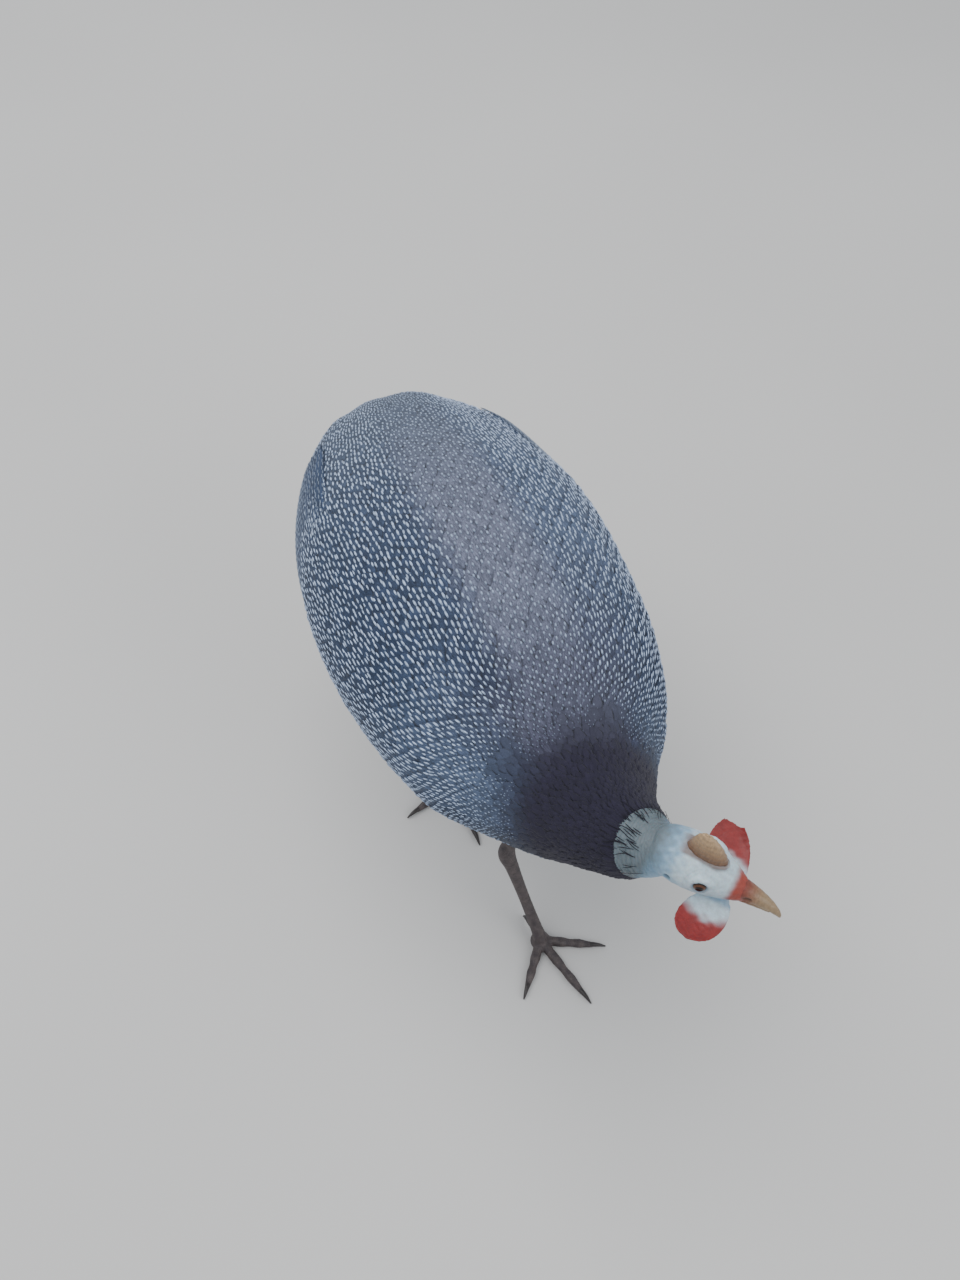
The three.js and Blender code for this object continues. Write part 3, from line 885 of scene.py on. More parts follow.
def body_coat(plain, pearl):
    """Contour feathers of body and wings, in rows round it, with pearl spots across the end of each."""
    t, angle, line = lattice(0.05, NECK_FROM + 0.05, ROW, COLUMNS)
    t = t + rng.normal(0, 0.0011, len(t))
    angle = angle + rng.normal(0, 0.005, len(t))
    length = FEATHER * mix(1.0, 0.7, smoothstep(0.45, NECK_FROM + 0.03, t)) * rng.uniform(0.96, 1.04, len(t))
    pitch = metric(BODY, t, angle)[1] * 2 * math.pi / COLUMNS
    high = rng.normal(0, 0.00014, len(t)) - SUNK * under_quills(t, angle)
    tract = Tract(coat_surface, t, angle, length, 0.68 * pitch, 0.0004 - COAT, high, -1,
                  skew=rng.normal(0, 0.02, len(t)), camber=0.0006)
    streak = streaked(t, angle)
    back = smoothstep(0.55, 0.95, np.cos(angle)) * (1 - streak)
    dotted = smoothstep(NECK_FROM + 0.06, NECK_FROM - 0.05, t)
    room = np.minimum(pitch / WIDE_COLUMN, 1)
    strength = (0.35 + 0.65 * dotted) * (0.82 + 0.18 * streak - 0.24 * back * smoothstep(0.1, 0.4, t))
    long = mix(SPOT[0], STREAK[0], streak) * room**0.3 * (0.6 + 0.4 * dotted)
    wide = mix(SPOT[1], STREAK[1], streak) * room**0.6 * (0.75 + 0.25 * dotted)
    ground = plumage_marking(t, angle)
    for name, here in body_regions(t, angle).items():
        coat_piece(name, [feather_part(tract.chosen(here), t[here], angle[here], ground[here])], plain)
        here = here & (dotted > 0.03) & (pitch > NARROW_COLUMN)
        part, count = tract.chosen(here), here.sum()
        spots = []
        for column in SPOT_LINES:
            grow = rng.uniform(0.85, 1.15, count)
            tone = mix(ground[here], PEARL * 1.08, strength[here])
            back_by = ROW / 2 / part.length * ((line[here] + column) % 2)
            sway = rng.normal(0, 0.012, count) - back_by
            spots.append(dot_part(part, t[here], angle[here], tone, SPOT_AT, SPOT_ASIDE * column,
                                  long[here] * grow, wide[here] * grow, sway))
        coat_piece(f"spots_of_{name}", spots, pearl)


NECK_COLUMNS = 76  # feathers round the neck
NECK_ROWS = (0.0038, 0.0024)  # from one row of them to the next, at the neck's root and at the nape
NECK_FEATHER = 0.017  # length of the longest
BRISTLES = 60


def neck_coat():
    """The neck's small dark feathers, which grow finer up to the bare nape, and a few bristles on the
    nape."""
    shares = even_shares(BODY, 0.0, NECK_FROM + 0.01, BARE_FROM + 0.01, *NECK_ROWS)
    t, angle = staggered(shares, NECK_COLUMNS)
    t = t + rng.normal(0, 0.001, len(t))
    end = smoothstep(0.83, BARE_FROM, t)
    pitch = metric(BODY, t, angle)[1] * 2 * math.pi / NECK_COLUMNS
    length = NECK_FEATHER * mix(1.0, 0.5, smoothstep(NECK_FROM, BARE_FROM, t)) * rng.uniform(0.8, 1.2, len(t))
    low = mix_each(-0.0022, -0.0003, end)
    high = mix_each(0.0, 0.0009, end) + rng.uniform(-0.0003, 0.0003, len(t))
    tract = Tract(BODY, t, angle, length, 0.85 * pitch, low, high, -1, skew=rng.normal(0, 0.05, len(t)),
                  camber=0.0003)
    feathers = [feather_part(tract, t, angle, plumage_marking(t, angle))]
    t = rng.uniform(BARE_FROM - 0.01, 0.96, BRISTLES)
    angle = rng.normal(0, 0.75, BRISTLES)
    length, high = rng.uniform(0.005, 0.009, BRISTLES), rng.uniform(0.0006, 0.0022, BRISTLES)
    bristles = Tract(BODY, t, angle, length, 0.00022, -0.0002, high, -1, skew=rng.normal(0, 0.2, BRISTLES),
                     camber=0.0001)
    return feathers + [feather_part(bristles, t, angle, NECK * 0.5)]


QUILLS = 13  # long flight feathers of a wing
QUILL_LENGTHS, QUILL_WIDTH = (0.132, 0.112), 0.0098  # from the lowest to the uppermost, and their half width
QUILL_STREAK = (0.0026, 0.00062)  # half length and half width


def flight_coat(hand):
    """The long flight feathers of a folded wing, which come out from under its coverts, and their thin
    streaks."""
    root, edge = np.linspace(0.36, 0.5, QUILLS), np.linspace(0.95, -0.5, QUILLS)
    low, high = np.linspace(-0.0022, -0.001, QUILLS), np.linspace(-0.0002, 0.0011, QUILLS)
    length = np.linspace(*QUILL_LENGTHS, QUILLS)
    quills = Tract(Wing(hand), root, edge, length, QUILL_WIDTH, low, high, 1, LONG)
    t, angle = wing_place(root, edge)
    feathers = [feather_part(quills, t, hand * angle, WING_NAVY * 1.25)]
    spots = []
    for i, along in enumerate(np.arange(0.2, 0.97, 0.045)):
        for side in (-0.75, -0.25, 0.25, 0.75):
            sway = rng.normal(0, 0.004, QUILLS)
            spots.append(dot_part(quills, t, hand * angle, PEARL * 0.5, along, side + 0.1 * (i % 2),
                                  *QUILL_STREAK, sway))
    return feathers, spots


THIGH_ON_MAP = {"left": 0.3, "right": 0.7}  # where a thigh's feathers start on the map
THIGH_FEATHER, THIGH_WIDTH = 0.02, 0.0066  # length and half width of the largest
THIGH_SPOT = (0.0013, 0.0009)  # half length and half width


def thigh_coat(name):
    surface = thigh_loft(name)
    share, angle = staggered(even_shares(surface, math.pi / 2, 0.24, 0.965, 0.0075, 0.005), 18)
    size = mix(1.0, 0.5, smoothstep(0.4, 0.95, share))
    high = rng.uniform(-0.0003, 0.0004, len(share))
    tract = Tract(surface, share, angle, THIGH_FEATHER * size, THIGH_WIDTH * size, -0.0016, high, 1)
    t = THIGH_ON_MAP[name] + 0.1 * share
    feathers = [feather_part(tract, t, angle, BELLY)]
    upper = share < 0.75
    spots = dot_part(tract.chosen(upper), t[upper], angle[upper], PEARL * 0.75, 0.9, 0.0, *THIGH_SPOT)
    return feathers, [spots]


# The upper tail coverts hang from the rump over the root of the tail, on a form of their own.
RUMP_DRAPE = Loft(
    [
        (5, 158, 238, 47, 34, 32),
        (6, 179, 229, 42, 26, 22),
        (8, 194, 211, 40, 19, 14),
        (9, 205, 193, 41, 12, 8),
        (10, 212, 181, 40, 6, 5),
    ]
)


FAN = 7  # long tail feathers on each side, above and again below
FAN_LENGTHS, FAN_WIDTH = (0.072, 0.048), 0.0115  # from the middle one to the outermost, and their half width
FAN_SPOT = (0.0014, 0.0008)  # half length and half width
COVERT, COVERT_WIDTH = 0.026, 0.0088  # length and half width of a tail covert
TAIL_SPOT = (0.0013, 0.0008)  # half length and half width


def tail_coat():
    """The drooping fan of long feathers, the coverts on its base, and those that run on from the rump over
    it."""
    fields = []
    root, on_map, length = np.full(FAN, 0.2), np.full(FAN, 0.02), np.linspace(*FAN_LENGTHS, FAN)
    tone = mix(RUMP, SLATE, 0.5)
    places = [(along, across) for along in np.arange(0.3, 0.97, 0.09) for across in (-0.5, 0.5)]
    for side in (1, -1):
        above = side * np.radians(np.linspace(12, 86, FAN))
        for angle in (above, math.pi - above):
            tract = Tract(TAIL, root, angle, length, FAN_WIDTH, -0.0012, 0.0002, 1, LONG, camber=0.0003)
            fields.append(spotted(tract, on_map, angle, tone, PEARL * 0.6, places, *FAN_SPOT))
    share, angle = staggered(even_shares(TAIL, 0.0, 0.02, 0.62, 0.008, 0.009), 22)
    tract = Tract(TAIL, share, angle, COVERT, COVERT_WIDTH, -0.0008, 0.0014, 1)
    places = [(0.93, 0.0), (0.78, -0.5), (0.78, 0.5)]
    fields.append(spotted(tract, 0.03 + 0.02 * share, angle, RUMP, PEARL * 0.65, places, *TAIL_SPOT))
    share, angle = staggered(even_shares(RUMP_DRAPE, 0.0, 0.0, 0.66, 0.0058, 0.0058), 24)
    high = rng.normal(0, 0.0002, len(share))
    tract = Tract(RUMP_DRAPE, share, angle, COVERT, COVERT_WIDTH, -0.0014, high, 1)
    places = [(SPOT_AT - 0.06 * abs(column), SPOT_ASIDE * column) for column in SPOT_LINES]
    fields.append(spotted(tract, 0.06 - 0.04 * share, angle, RUMP, PEARL * 0.7, places, *TAIL_SPOT))
    return [sum(parts, []) for parts in zip(*fields)]


def make_coat():
    plain = feather_material("contour_feathers", 0.6, 0.06)
    dark = feather_material("neck_feathers", 0.12, 0.0)
    pearl = pearl_material()
    body_coat(plain, pearl)
    coat_piece("feathers_neck", neck_coat(), dark)
    for name, hand in HANDS.items():
        quills, streaks = flight_coat(hand)
        coat_piece(f"flight_feathers_{name}", quills, plain)
        coat_piece(f"streaks_wing_{name}", streaks, pearl)
        feathers, spots = thigh_coat(name)
        coat_piece(f"feathers_thigh_{name}", feathers, plain)
        coat_piece(f"spots_thigh_{name}", spots, pearl)
    feathers, spots = tail_coat()
    coat_piece("feathers_tail", feathers, plain)
    coat_piece("spots_tail", spots, pearl)


# Head

HEAD_AT, HEAD_TURN, HEAD_NOD = np.array([20, -246, 327.0]) * MM + SHIFT, 43, 10
HEAD_MATRIX = np.array(
    Matrix.Translation(HEAD_AT)
    @ Matrix.Rotation(math.radians(HEAD_TURN), 4, "Z")
    @ Matrix.Rotation(math.radians(HEAD_NOD), 4, "X")
)


def on_head(points):
    """Points of the head's own frame, in metres with the nose towards -Y, in their place on the bird."""
    return points @ HEAD_MATRIX[:3, :3].T + HEAD_MATRIX[:3, 3]


def off_head(points):
    """Points of the bird in the head's own frame."""
    return (points - HEAD_MATRIX[:3, 3]) @ HEAD_MATRIX[:3, :3]


def face_loft(rows):
    """Stations (forward, height, side, up, down) along the head, in millimetres, as a loft in the head's
    frame."""
    return Loft([(0, -forward, height, *reach) for forward, height, *reach in rows], shift=0.0)


SKULL = face_loft(
    [
        (-13, -3, 6.5, 7, 9),
        (-9, -1.5, 11.8, 11.6, 13.5),
        (0, 0, 14.2, 13.8, 15),
        (9, 0.4, 14.5, 13.6, 14),
        (18, 0, 12.9, 12, 12.4),
        (27, -1.4, 9.6, 9.2, 10),
        (34, -2.6, 6.4, 6.8, 7.4),
        (38, -3.2, 4, 4.6, 5),
    ]
)
UPPER_BILL = face_loft(
    [
        (29, -0.6, 5.6, 5.6, 2.6),
        (36, -0.8, 5.4, 5.2, 2.4),
        (44, -1.6, 4.2, 4.2, 2.0),
        (51, -3.4, 2.8, 3.0, 1.8),
        (56, -6.2, 1.5, 1.8, 1.4),
        (58, -8.2, 0.6, 0.7, 0.7),
    ]
)
LOWER_BILL = face_loft(
    [
        (29, -5.0, 5.2, 2.8, 3.4),
        (37, -4.8, 4.6, 2.6, 3.2),
        (45, -5.2, 3.2, 2.2, 2.4),
        (52, -6.6, 1.6, 1.2, 1.4),
    ]
)
EYE_AT, EYE_RADIUS = np.array([9.8, -13.5, 3.2]) * MM, 5 * MM
EAR_AT = np.array([13.6, 1.5, -2.5])
# The helmet: its length at the foot, its height, how high the foot is, the foot's half breadth, how far the
# top leans back, and where along the head the middle of the foot is.
CASQUE = {"base": 24, "height": 20, "foot": 9.5, "thick": 5.2, "lean": 6, "at": -10}
# A wattle: where its inner end is and how far it reaches outwards, its half width and half thickness, where
# along the head its middle line starts and how far that runs back, and the height at which it starts.
WATTLE = {"inner": 3.5, "reach": 31, "half": 12, "thick": 1.15, "front": -27, "back": 7, "top": -8.5}


def rings_body(x, y, z):
    """A closed body through rings, given by arrays of the coordinates in millimetres."""
    return closed_rings(np.stack(np.broadcast_arrays(x, y, z), axis=-1) * MM)


def casque_body():
    """The bony helmet: thick at its foot, and leaning back towards its rounded top."""
    rise = np.sin(np.linspace(0, math.pi / 2, 40))[:, None]
    turn = full_turn(48)[None]
    taper = np.sqrt(np.maximum(1 - rise**2.6, 0.035))
    x = np.cos(turn) * (CASQUE["thick"] * (1 - 0.36 * rise) * taper)
    deep = CASQUE["base"] / 2 * (1 - 0.34 * rise) * taper
    y = CASQUE["at"] + np.sin(turn) * deep + CASQUE["lean"] * rise**2
    return rings_body(x, y, CASQUE["foot"] + rise * CASQUE["height"])


def casque_foot():
    """The low swelling of skin round the helmet's foot."""
    rise, grow, turn = np.array([[0], [0.5], [1]]), np.array([[0.6], [1.3], [0.9]]), full_turn(48)[None]
    y = CASQUE["at"] + np.sin(turn) * (11.2 + grow)
    return rings_body(np.cos(turn) * (4.4 + grow), y, CASQUE["foot"] + rise * 4.6)


def wattle_body(hand):
    """A wattle: a thick round flap from the corner of the bill, standing out and cupped upwards."""
    share, turn = np.linspace(0, 1, 44)[:, None], full_turn(40)[None]
    half = WATTLE["half"] * np.sqrt(np.maximum(1 - (2 * share - 1.05) ** 2 / 1.12, 0.04))
    across, blunt = np.cos(turn), np.sign(np.sin(turn)) * np.abs(np.sin(turn)) ** 0.4
    ripple = 0.5 * np.sin(across * 5 + hand) * share
    droop, cup = 6 * np.sin(share * 2.2), 5 * share**2 + 2.75 * across**2 * share
    z = WATTLE["top"] - droop + cup + ripple + blunt * WATTLE["thick"] * (1 - 0.25 * share)
    x = hand * (WATTLE["inner"] + WATTLE["reach"] * share)
    return rings_body(x, WATTLE["front"] + WATTLE["back"] * share + across * half, z)


def eye_axes(hand):
    """The direction in which an eye looks, and the level and the upward direction across it."""
    axis = unit(np.array([hand, -0.22, 0.12]))
    level = unit(np.cross([0, 0, 1.0], axis))
    return axis, level, np.cross(axis, level)


LID_ROUND, LID_SIDES = 48, 12  # points round an eye and round a lid's section
LID_HEIGHT = 0.9  # of a lid's ring as a share of its width
# The inner and the outer ring: how far ahead of the eye's middle, radius and half thickness.
LID_RIM, LID_FOLD = (0.0031, 0.0047, 0.00075), (0.0022, 0.0059, 0.0012)


def lid(hand, ahead, radius, thick):
    """A closed soft ring round an eye, a little ahead of the eye's middle."""
    axis, level, up = eye_axes(hand)
    turn, around = full_turn(LID_ROUND)[:, None], full_turn(LID_SIDES)[None]
    out = radius + thick * np.cos(around)
    side, high = out * np.cos(turn), out * np.sin(turn) * LID_HEIGHT
    deep = thick * 1.1 * np.sin(around) + 0 * turn
    centre = EYE_AT * [hand, 1, 1] + axis * ahead
    points = centre + side[..., None] * level + high[..., None] * up + deep[..., None] * axis
    faces = []
    for i in range(LID_ROUND):
        row, next_row = i * LID_SIDES, (i + 1) % LID_ROUND * LID_SIDES
        for j in range(LID_SIDES):
            k = (j + 1) % LID_SIDES
            faces.append((row + j, next_row + j, next_row + k, row + k))
    return points.reshape(-1, 3), faces


def placed(bodies):
    return [(on_head(points), faces) for points, faces in bodies]


def head_marking(points):
    """Face white with blue, crown paler, red round the bill, wattles white at the base and red at the rim."""
    q = off_head(points) / MM
    side, forward, height = np.abs(q[:, 0]), -q[:, 1], q[:, 2]
    wave = np.sin(q[:, 0] * 0.9 + 1) * np.sin(q[:, 1] * 0.7) * np.sin(q[:, 2] * 0.8 + 2)
    face = smoothstep(-8, 4, forward + wave * 3) * smoothstep(-16, 2, height + wave * 2)
    cheek = smoothstep(3, -3, height) * smoothstep(12, 0, forward) * smoothstep(-16, -6, forward)
    cere = smoothstep(26, 31, forward + 0.3 * wave) * smoothstep(-9, -2, height)
    crown = smoothstep(10.5, 13, height) * smoothstep(6.5, 5, side)
    crown = crown * smoothstep(-5, 0, forward) * smoothstep(24, 20, forward)
    root = smoothstep(8.0, 10.5, side) * smoothstep(-6.5, -8.5, height) * smoothstep(10, 14, forward)
    wattle = np.maximum(root, smoothstep(15.5, 17, side) * smoothstep(4, 8, forward))
    rim = smoothstep(12, 19, np.hypot(side - 4, (forward - 24) * 0.9) + wave * 1.5)
    tone = mix(NAPE_BLUE, FACE_BLUE, smoothstep(-15, -3, forward + wave * 2))
    tone = mix(mix(tone, FACE_WHITE, face), FACE_BLUE, 0.6 * cheek)
    tone = mix(mix(tone, CERE_RED, cere), HORN_DARK * 1.2, 0.75 * crown)
    return mix(tone, mix(FACE_WHITE, WATTLE_RED, rim), wattle)


def make_head_skin():
    """Skull, nape, lids and wattles as one fused skin, with folds on the nape and wrinkles on the face; its
    colour has painted shade on the lids round the eyes and in the ear holes.
    """
    share, turn = crossed(np.linspace(0.82, 1, 40), full_turn(48))
    nape = closed_rings(BODY(share, turn, mix_each(-COAT, -0.0004, smoothstep(0.83, BARE_FROM, share))))
    bodies = placed([loft_body(SKULL, 60, 64), casque_foot()]) + [nape]
    for hand in HANDS.values():
        bodies += placed([lid(hand, *LID_RIM), lid(hand, *LID_FOLD), wattle_body(hand)])
    made = fused("head_skin", bodies, 0.0006, 3)
    points = vertex_values(made, "co")
    q = off_head(points) / MM
    t, angle = body_place(points)
    on_nape = smoothstep(-4, -12, -q[:, 1])
    nape_folds = np.sin(t * 560 + 1.2 * np.sin(angle * 3) + 0.8 * np.sin(angle * 7 + 1)) * 0.00028
    bumps = np.sin(q[:, 0] * 1.3) * np.sin(q[:, 1] * 1.1 + 1) * np.sin(q[:, 2] * 1.2) * 0.00018
    eye, ear = (
        np.minimum(*(np.linalg.norm((q - at * [hand, 1, 1]) * scale, axis=1) for hand in HANDS.values()))
        for at, scale in ((EYE_AT / MM, [1, 1, 1]), (EAR_AT, [1, 1, 0.8]))
    )
    wrinkles = np.sin(eye * 4.2) * 0.00012 * smoothstep(6.5, 7.5, eye) * smoothstep(11, 8.5, eye)
    ear_hole = -0.0016 * smoothstep(2.6, 0.8, ear)
    lift = nape_folds * on_nape + bumps * (1 - on_nape) + wrinkles + ear_hole
    points = points + vertex_values(made, "normal") * lift[:, None]
    move_points(made, points)
    # Painted shade: a darker blue on the lids and in the crease round each eye.
    marking = mix(head_marking(points), FACE_BLUE * 0.55, 0.6 * smoothstep(6.4, 5.2, eye))
    # Painted shade: the colour darkened in the ear holes.
    store(made, "marking", marking * (1 - 0.55 * smoothstep(2.6, 1.0, ear))[:, None])
    made.data.materials.append(bare_skin_material())
    return made


def make_casque(material):
    made = new_object("casque_horn", *casque_body())
    points = vertex_values(made, "co")
    _, y, z = (points / MM).T
    ridges = np.sin(z * 2.4 + np.sin(y * 0.8)) * 0.00015 + np.sin(y * 2.2) * 0.0001
    move_points(made, on_head(points - vertex_values(made, "normal") * ridges[:, None]))
    store(made, "marking", mix(HORN_DARK, HORN_PALE, 0.8 * smoothstep(10, 30, z)))
    fix_normals(made)
    finish_piece(made, ["casque"], material)


NOSTRIL_AT = (38.5, 0.4)  # forward and up
NOSTRIL_LONG, NOSTRIL_DEEP = 2.4, 0.0009  # times as long as high, and its depth


def make_bill(name, loft, material):
    """One half of the bill, red at its root and pale at its tip; the upper one has a nostril on each side,
    darkened with painted shade.
    """
    points, faces = loft_body(loft, 70, 48)
    x, forward, z = (points / MM * [1, -1, 1]).T
    nostril = np.hypot((forward - NOSTRIL_AT[0]) / NOSTRIL_LONG, z - NOSTRIL_AT[1])
    if name == "bill_upper":
        points[:, 0] -= np.sign(points[:, 0]) * NOSTRIL_DEEP * smoothstep(1.2, 0.5, nostril)
    points[:, 2] += 0.00008 * np.sin(forward * 1.7 + np.abs(x))
    made = new_object(f"{name}_horn", on_head(points), faces)
    fix_normals(made)
    tone = mix(CERE_RED * 0.6, HORN_PALE * 0.55, smoothstep(33, 47, forward))
    # Painted shade: the colour darkened in and round the nostril pits.
    store(made, "marking", tone * (1 - 0.6 * smoothstep(1.3, 0.6, nostril))[:, None])
    finish_piece(made, [name], material)


def make_head_horn():
    material = horn_material("horn")
    make_casque(material)
    make_bill("bill_upper", UPPER_BILL, material)
    make_bill("bill_lower", LOWER_BILL, material)


EYE_RINGS, EYE_SIDES = 33, 48
PUPIL, IRIS = (0.38, 0.44), (0.62, 0.72)  # angles off the eye's axis over which each ends
PUPIL_BLACK, IRIS_BROWN, RIM_BROWN = linear(6, 5, 5), linear(88, 52, 30), linear(24, 16, 14)


def make_eyes():
    """Two balls, each with a raised cornea and its pupil and iris round its own axis."""
    material = eye_material()
    polar, turn = np.linspace(0, math.pi, EYE_RINGS)[1:-1, None], full_turn(EYE_SIDES)[None]
    radius = EYE_RADIUS * 0.97 + 0.0004 * smoothstep(0.75, 0.2, polar)
    deep = np.cos(polar) * radius + 0 * turn
    side, high = np.sin(polar) * np.cos(turn) * radius, np.sin(polar) * np.sin(turn) * radius
    off_axis = np.append(np.repeat(polar[:, 0], EYE_SIDES), [0, math.pi])
    tone = mix(PUPIL_BLACK, IRIS_BROWN, smoothstep(*PUPIL, off_axis))
    tone = mix(tone, RIM_BROWN, smoothstep(*IRIS, off_axis))
    for name, hand in HANDS.items():
        axis, level, up = eye_axes(hand)
        ball = deep[..., None] * axis + side[..., None] * level + high[..., None] * up
        points, faces = closed_rings(ball + EYE_AT * [hand, 1, 1])
        made = new_object(f"eyeball_{name}", on_head(points), faces)
        fix_normals(made)
        store(made, "marking", tone)
        finish_piece(made, [f"eye_{name}"], material)


# Legs and feet


def flattened(points, floor=0.0):
    """Points lower than the floor are raised to it."""
    points = points.copy()
    points[:, 2] = np.maximum(points[:, 2], floor)
    return points


SHANK_SCUTE, TOE_SCUTE, SCUTE_DEPTH = 0.0042, 0.0027, 0.00032  # lengths and depth of the plates


def scaled_limb(rows, scute, rings, sides):
    """A limb whose front carries overlapping plates, one for each length scute in metres."""
    loft = Loft(round_stations(rows))
    share = np.linspace(0, 1, rings)
    t, angle = crossed(share, full_turn(sides))
    steps = np.linalg.norm(np.diff(smooth_through(loft.line, share), axis=0), axis=1)
    along_plate = (np.append(0, np.cumsum(steps)) / scute % 1.0)[:, None]
    front = smoothstep(-0.1, 0.5, np.cos(angle))
    points, faces = closed_rings(loft(t, angle, SCUTE_DEPTH * (along_plate - 0.5) * front))
    return flattened(points), faces


def shank_rows(name):
    knee, hock, foot = (LEGS[name][key] for key in ("knee", "hock", "foot"))
    return [
        (mix(knee, hock, 0.66), 4.6),
        (mix(knee, hock, 0.9), 5.0),
        (hock, 6.4),
        (mix(hock, foot, 0.16), 5.0),
        (mix(hock, foot, 0.5), 4.1),
        (mix(hock, foot, 0.86), 4.5),
        (mix(hock, foot, 1.0), 5.4),
    ]


def place_along(foot, degrees):
    """A function that gives the place at a distance out from the foot and a height, in millimetres."""
    heading = (math.sin(math.radians(degrees)), -math.cos(math.radians(degrees)))
    return lambda out, height: (foot[0] + heading[0] * out, foot[1] + heading[1] * out, height)


# Shares of a front toe's length, and its heights and radii there, at its root, its knuckles and its end.
TOE = [
    (0, 5.2, 4.8),
    (0.2, 4.0, 3.6),
    (0.4, 3.5, 3.7),
    (0.56, 3.0, 2.9),
    (0.72, 3.1, 3.3),
    (0.88, 2.6, 2.5),
    (1, 2.6, 1.9),
]
CLAW_REACH = 9.5  # from the toe's end to the claw's point


def toe_rows(foot, degrees, length):
    """Stations of a front toe and of its claw."""
    at = place_along(foot, degrees)
    toe = [(at(share * length, height), radius) for share, height, radius in TOE]
    claw = [
        (at(0.94 * length, 3.0), 1.9),
        (at(1.02 * length, 3.1), 1.75),
        (at(length + CLAW_REACH * 0.55, 2.7), 1.25),
        (at(length + CLAW_REACH, 1.3), 0.5),
    ]
    return toe, claw


def hallux_rows(foot, degrees):
    """Stations of the hind toe and of its claw."""
    at = place_along(foot, degrees)
    toe = [(at(0, 14), 3.2), (at(7, 12.5), 3.2), (at(13, 9.5), 2.9), (at(18, 6.6), 2.1)]
    claw = [(at(16, 7.4), 1.8), (at(19, 5.9), 1.7), (at(22.5, 3.0), 1.1), (at(24, 0.5), 0.5)]
    return toe, claw


def foot_pad(foot):
    heights, radii = np.array([[0, 2.5, 5, 8, 10], [6.6, 7.4, 7.5, 6.4, 4.6]])[..., None]
    turn = full_turn(40)[None]
    points, faces = rings_body(foot[0] + radii * np.cos(turn), foot[1] + radii * np.sin(turn), heights)
    return points + SHIFT, faces


def make_leg(name, material):
    """One scaly skin for a leg's shank, foot and toes, and the bodies of its claws."""
    foot = LEGS[name]["foot"]
    bodies, claws = [scaled_limb(shank_rows(name), SHANK_SCUTE, 160, 36), foot_pad(foot)], []
    for toe, degrees in LEGS[name]["turn"].items():
        rows, claw = (
            hallux_rows(foot, degrees) if toe == "hallux" else toe_rows(foot, degrees, TOE_LENGTH[toe])
        )
        bodies.append(scaled_limb(rows, TOE_SCUTE, 90, 24))
        points, faces = loft_body(Loft(round_stations(claw)), 24, 16)
        claws.append((flattened(points), faces))
    made = fused(f"leg_{name}", bodies, 0.0007, 1)
    points = flattened(vertex_values(made, "co"))
    move_points(made, points)
    x, y, z = points.T
    wave = np.sin(x * 700) * np.sin(y * 600) * np.sin(z * 300)
    tone = mix(LEG_DARK, LEG_PALE, 0.3 + 0.25 * wave)
    # Painted shade: darker within 4 mm of the floor, on the undersides of the toes and the pad.
    store(made, "marking", mix(tone, LEG_DARK * 0.7, smoothstep(0.004, 0, z)))
    made.data.materials.append(material)
    return made, claws


def make_legs():
    material = leg_skin_material()
    legs, claws = zip(*(make_leg(name, material) for name in LEGS))
    made = new_object("claws", *merged(sum(claws, [])))
    fix_normals(made)
    store(made, "marking", np.tile(CLAW_DARK, (len(made.data.vertices), 1)))
    nodes = [f"claw_{toe}_{name}" for name in LEGS for toe in LEGS[name]["turn"]]
    finish_piece(made, nodes, horn_material("claw_horn", 0.35))
    return legs


# The skin


def make_body_skin():
    """The feathered skin: body, wings, thighs and tail base, inside the solids by the depth of their
    coats."""
    bodies = [loft_body(BODY, 120, 120, -COAT), loft_body(tail_loft(-1.6), 30, 48)]
    for name, hand in HANDS.items():
        bodies.append(wing_body(hand, -0.0026))
        bodies.append(loft_body(thigh_loft(name, -2.0), 50, 48))
    made = fused("body_skin", bodies, 0.0021, 4)
    store(made, "marking", plumage_marking(*body_place(vertex_values(made, "co"))))
    made.data.materials.append(skin_bed_material())
    return made


def make_skin():
    """One skin for every piece of flesh."""
    skin, *others = make_body_skin(), make_head_skin(), *make_legs()
    bpy.ops.object.select_all(action="DESELECT")
    for part in (skin, *others):
        part.select_set(True)
    bpy.context.view_layer.objects.active = skin
    bpy.ops.object.join()
    skin.name = "skin"
    flesh = ["trunk", "neck", "nape", "head", "tail"]
    for name in HANDS:
        flesh += [f"{part}_{name}" for part in ("wing", "thigh", "shank", "foot", "wattle")]
        flesh += [f"toe_{toe}_{name}" for toe in LEGS[name]["turn"]]
    return finish_piece(skin, flesh)


# Floor, light and camera


def make_floor():
    bpy.ops.mesh.primitive_plane_add(size=14)
    floor = bpy.context.object
    floor.name = "floor"
    s = Shader("floor_paint")
    tone = s.ramp(s.noise(1.2, 2.0), (0.3, linear(206, 204, 202)), (0.7, linear(214, 212, 210)))
    floor.data.materials.append(s.set(Base_Color=tone, Roughness=0.85))


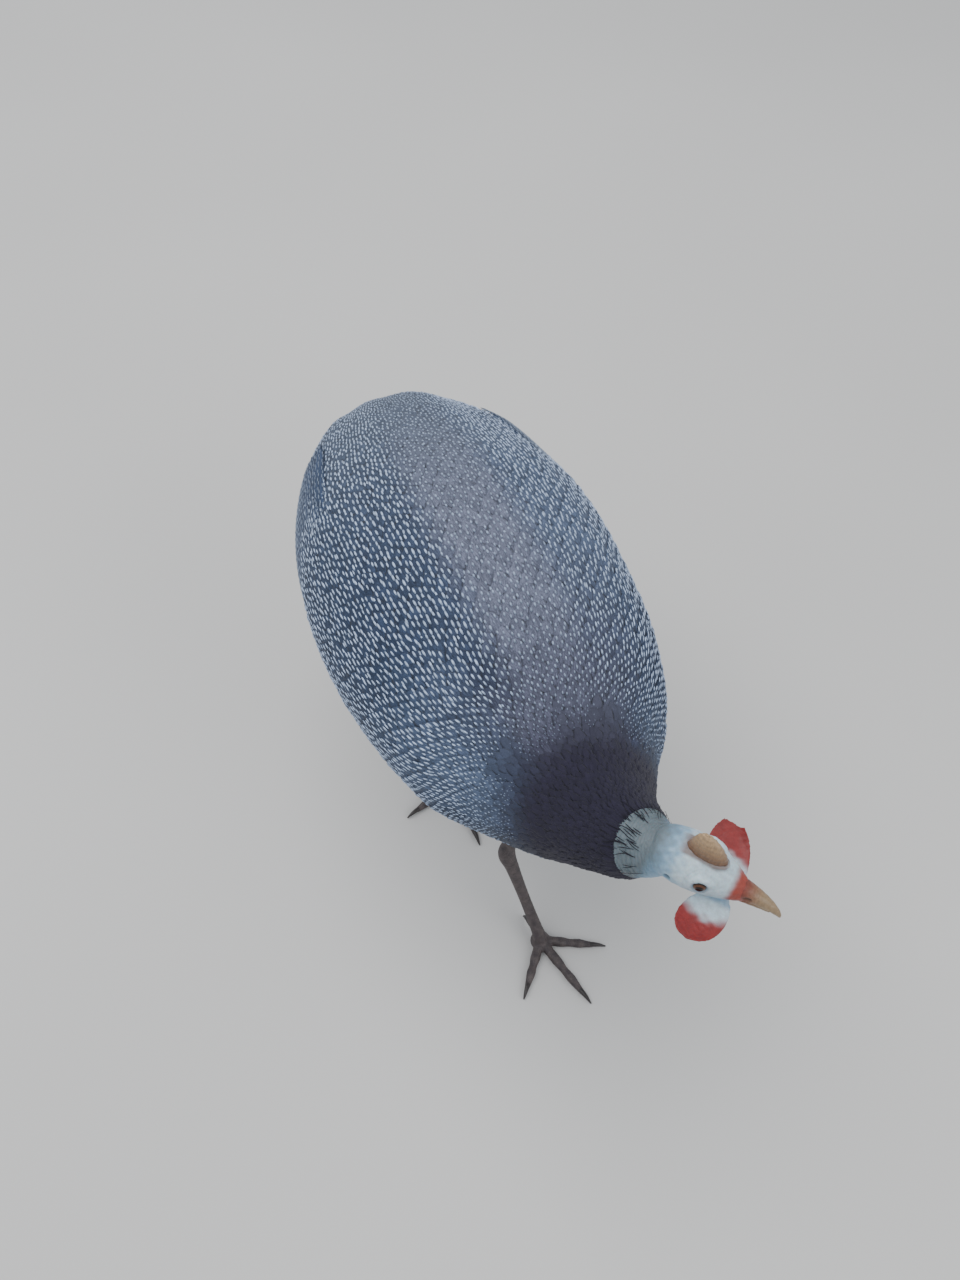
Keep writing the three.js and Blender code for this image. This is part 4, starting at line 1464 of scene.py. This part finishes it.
def area_light(name, at, size, power, aim=(0, 0, 0.2)):
    data = bpy.data.lights.new(name, "AREA")
    data.shape = "DISK"
    data.size = size
    data.energy = power
    made = linked(name, data)
    made.location = at
    made.rotation_euler = (Vector(aim) - Vector(at)).to_track_quat("-Z", "Y").to_euler()


def make_light():
    world = bpy.data.worlds.new("overcast")
    world.use_nodes = True
    background = world.node_tree.nodes["Background"]
    background.inputs["Color"].default_value = (0.9, 0.95, 1.0, 1)
    background.inputs["Strength"].default_value = 0.75
    bpy.context.scene.world = world
    area_light("sky", (-0.6, 0.5, 2.4), 2.2, 42)
    area_light("front", (0.9, -1.6, 1.3), 1.4, 9)


# The camera stands DISTANCE from the middle of the body, ahead of the bird and to its right, and looks down.
# AIM_PIXEL is where the photo shows that middle, and FOCAL_PIXELS is the lens in pixels of the photo.
AZIMUTH, ELEVATION, ROLL = -22, 54, 2
FOCAL_PIXELS, PHOTO = 1200, (960, 1280)
AIM, AIM_PIXEL, DISTANCE = np.array([0, 0, 0.235]), (470, 607), 0.8


def make_camera():
    a, e, r = (math.radians(v) for v in (AZIMUTH, ELEVATION, ROLL))
    right = np.array([math.cos(a), math.sin(a), 0])
    up = np.array([-math.sin(a) * math.sin(e), math.cos(a) * math.sin(e), math.cos(e)])
    back = np.array([math.sin(a) * math.cos(e), -math.cos(a) * math.cos(e), math.sin(e)])
    right, up = math.cos(r) * right + math.sin(r) * up, -math.sin(r) * right + math.cos(r) * up
    x = (AIM_PIXEL[0] - PHOTO[0] / 2) / FOCAL_PIXELS * DISTANCE
    y = -(AIM_PIXEL[1] - PHOTO[1] / 2) / FOCAL_PIXELS * DISTANCE
    at = AIM + SHIFT - (x * right + y * up - DISTANCE * back)
    data = bpy.data.cameras.new("camera")
    data.sensor_width = 36
    data.lens = FOCAL_PIXELS / PHOTO[1] * data.sensor_width
    data.dof.use_dof = False
    data.clip_start = 0.01
    camera = linked("camera", data)
    camera.matrix_world = Matrix(
        [[*row, at[i]] for i, row in enumerate(np.stack([right, up, back], axis=1))] + [[0, 0, 0, 1]]
    )
    bpy.context.scene.camera = camera


make_camera()
make_light()
make_floor()
make_skin()
make_head_horn()
make_eyes()
make_coat()
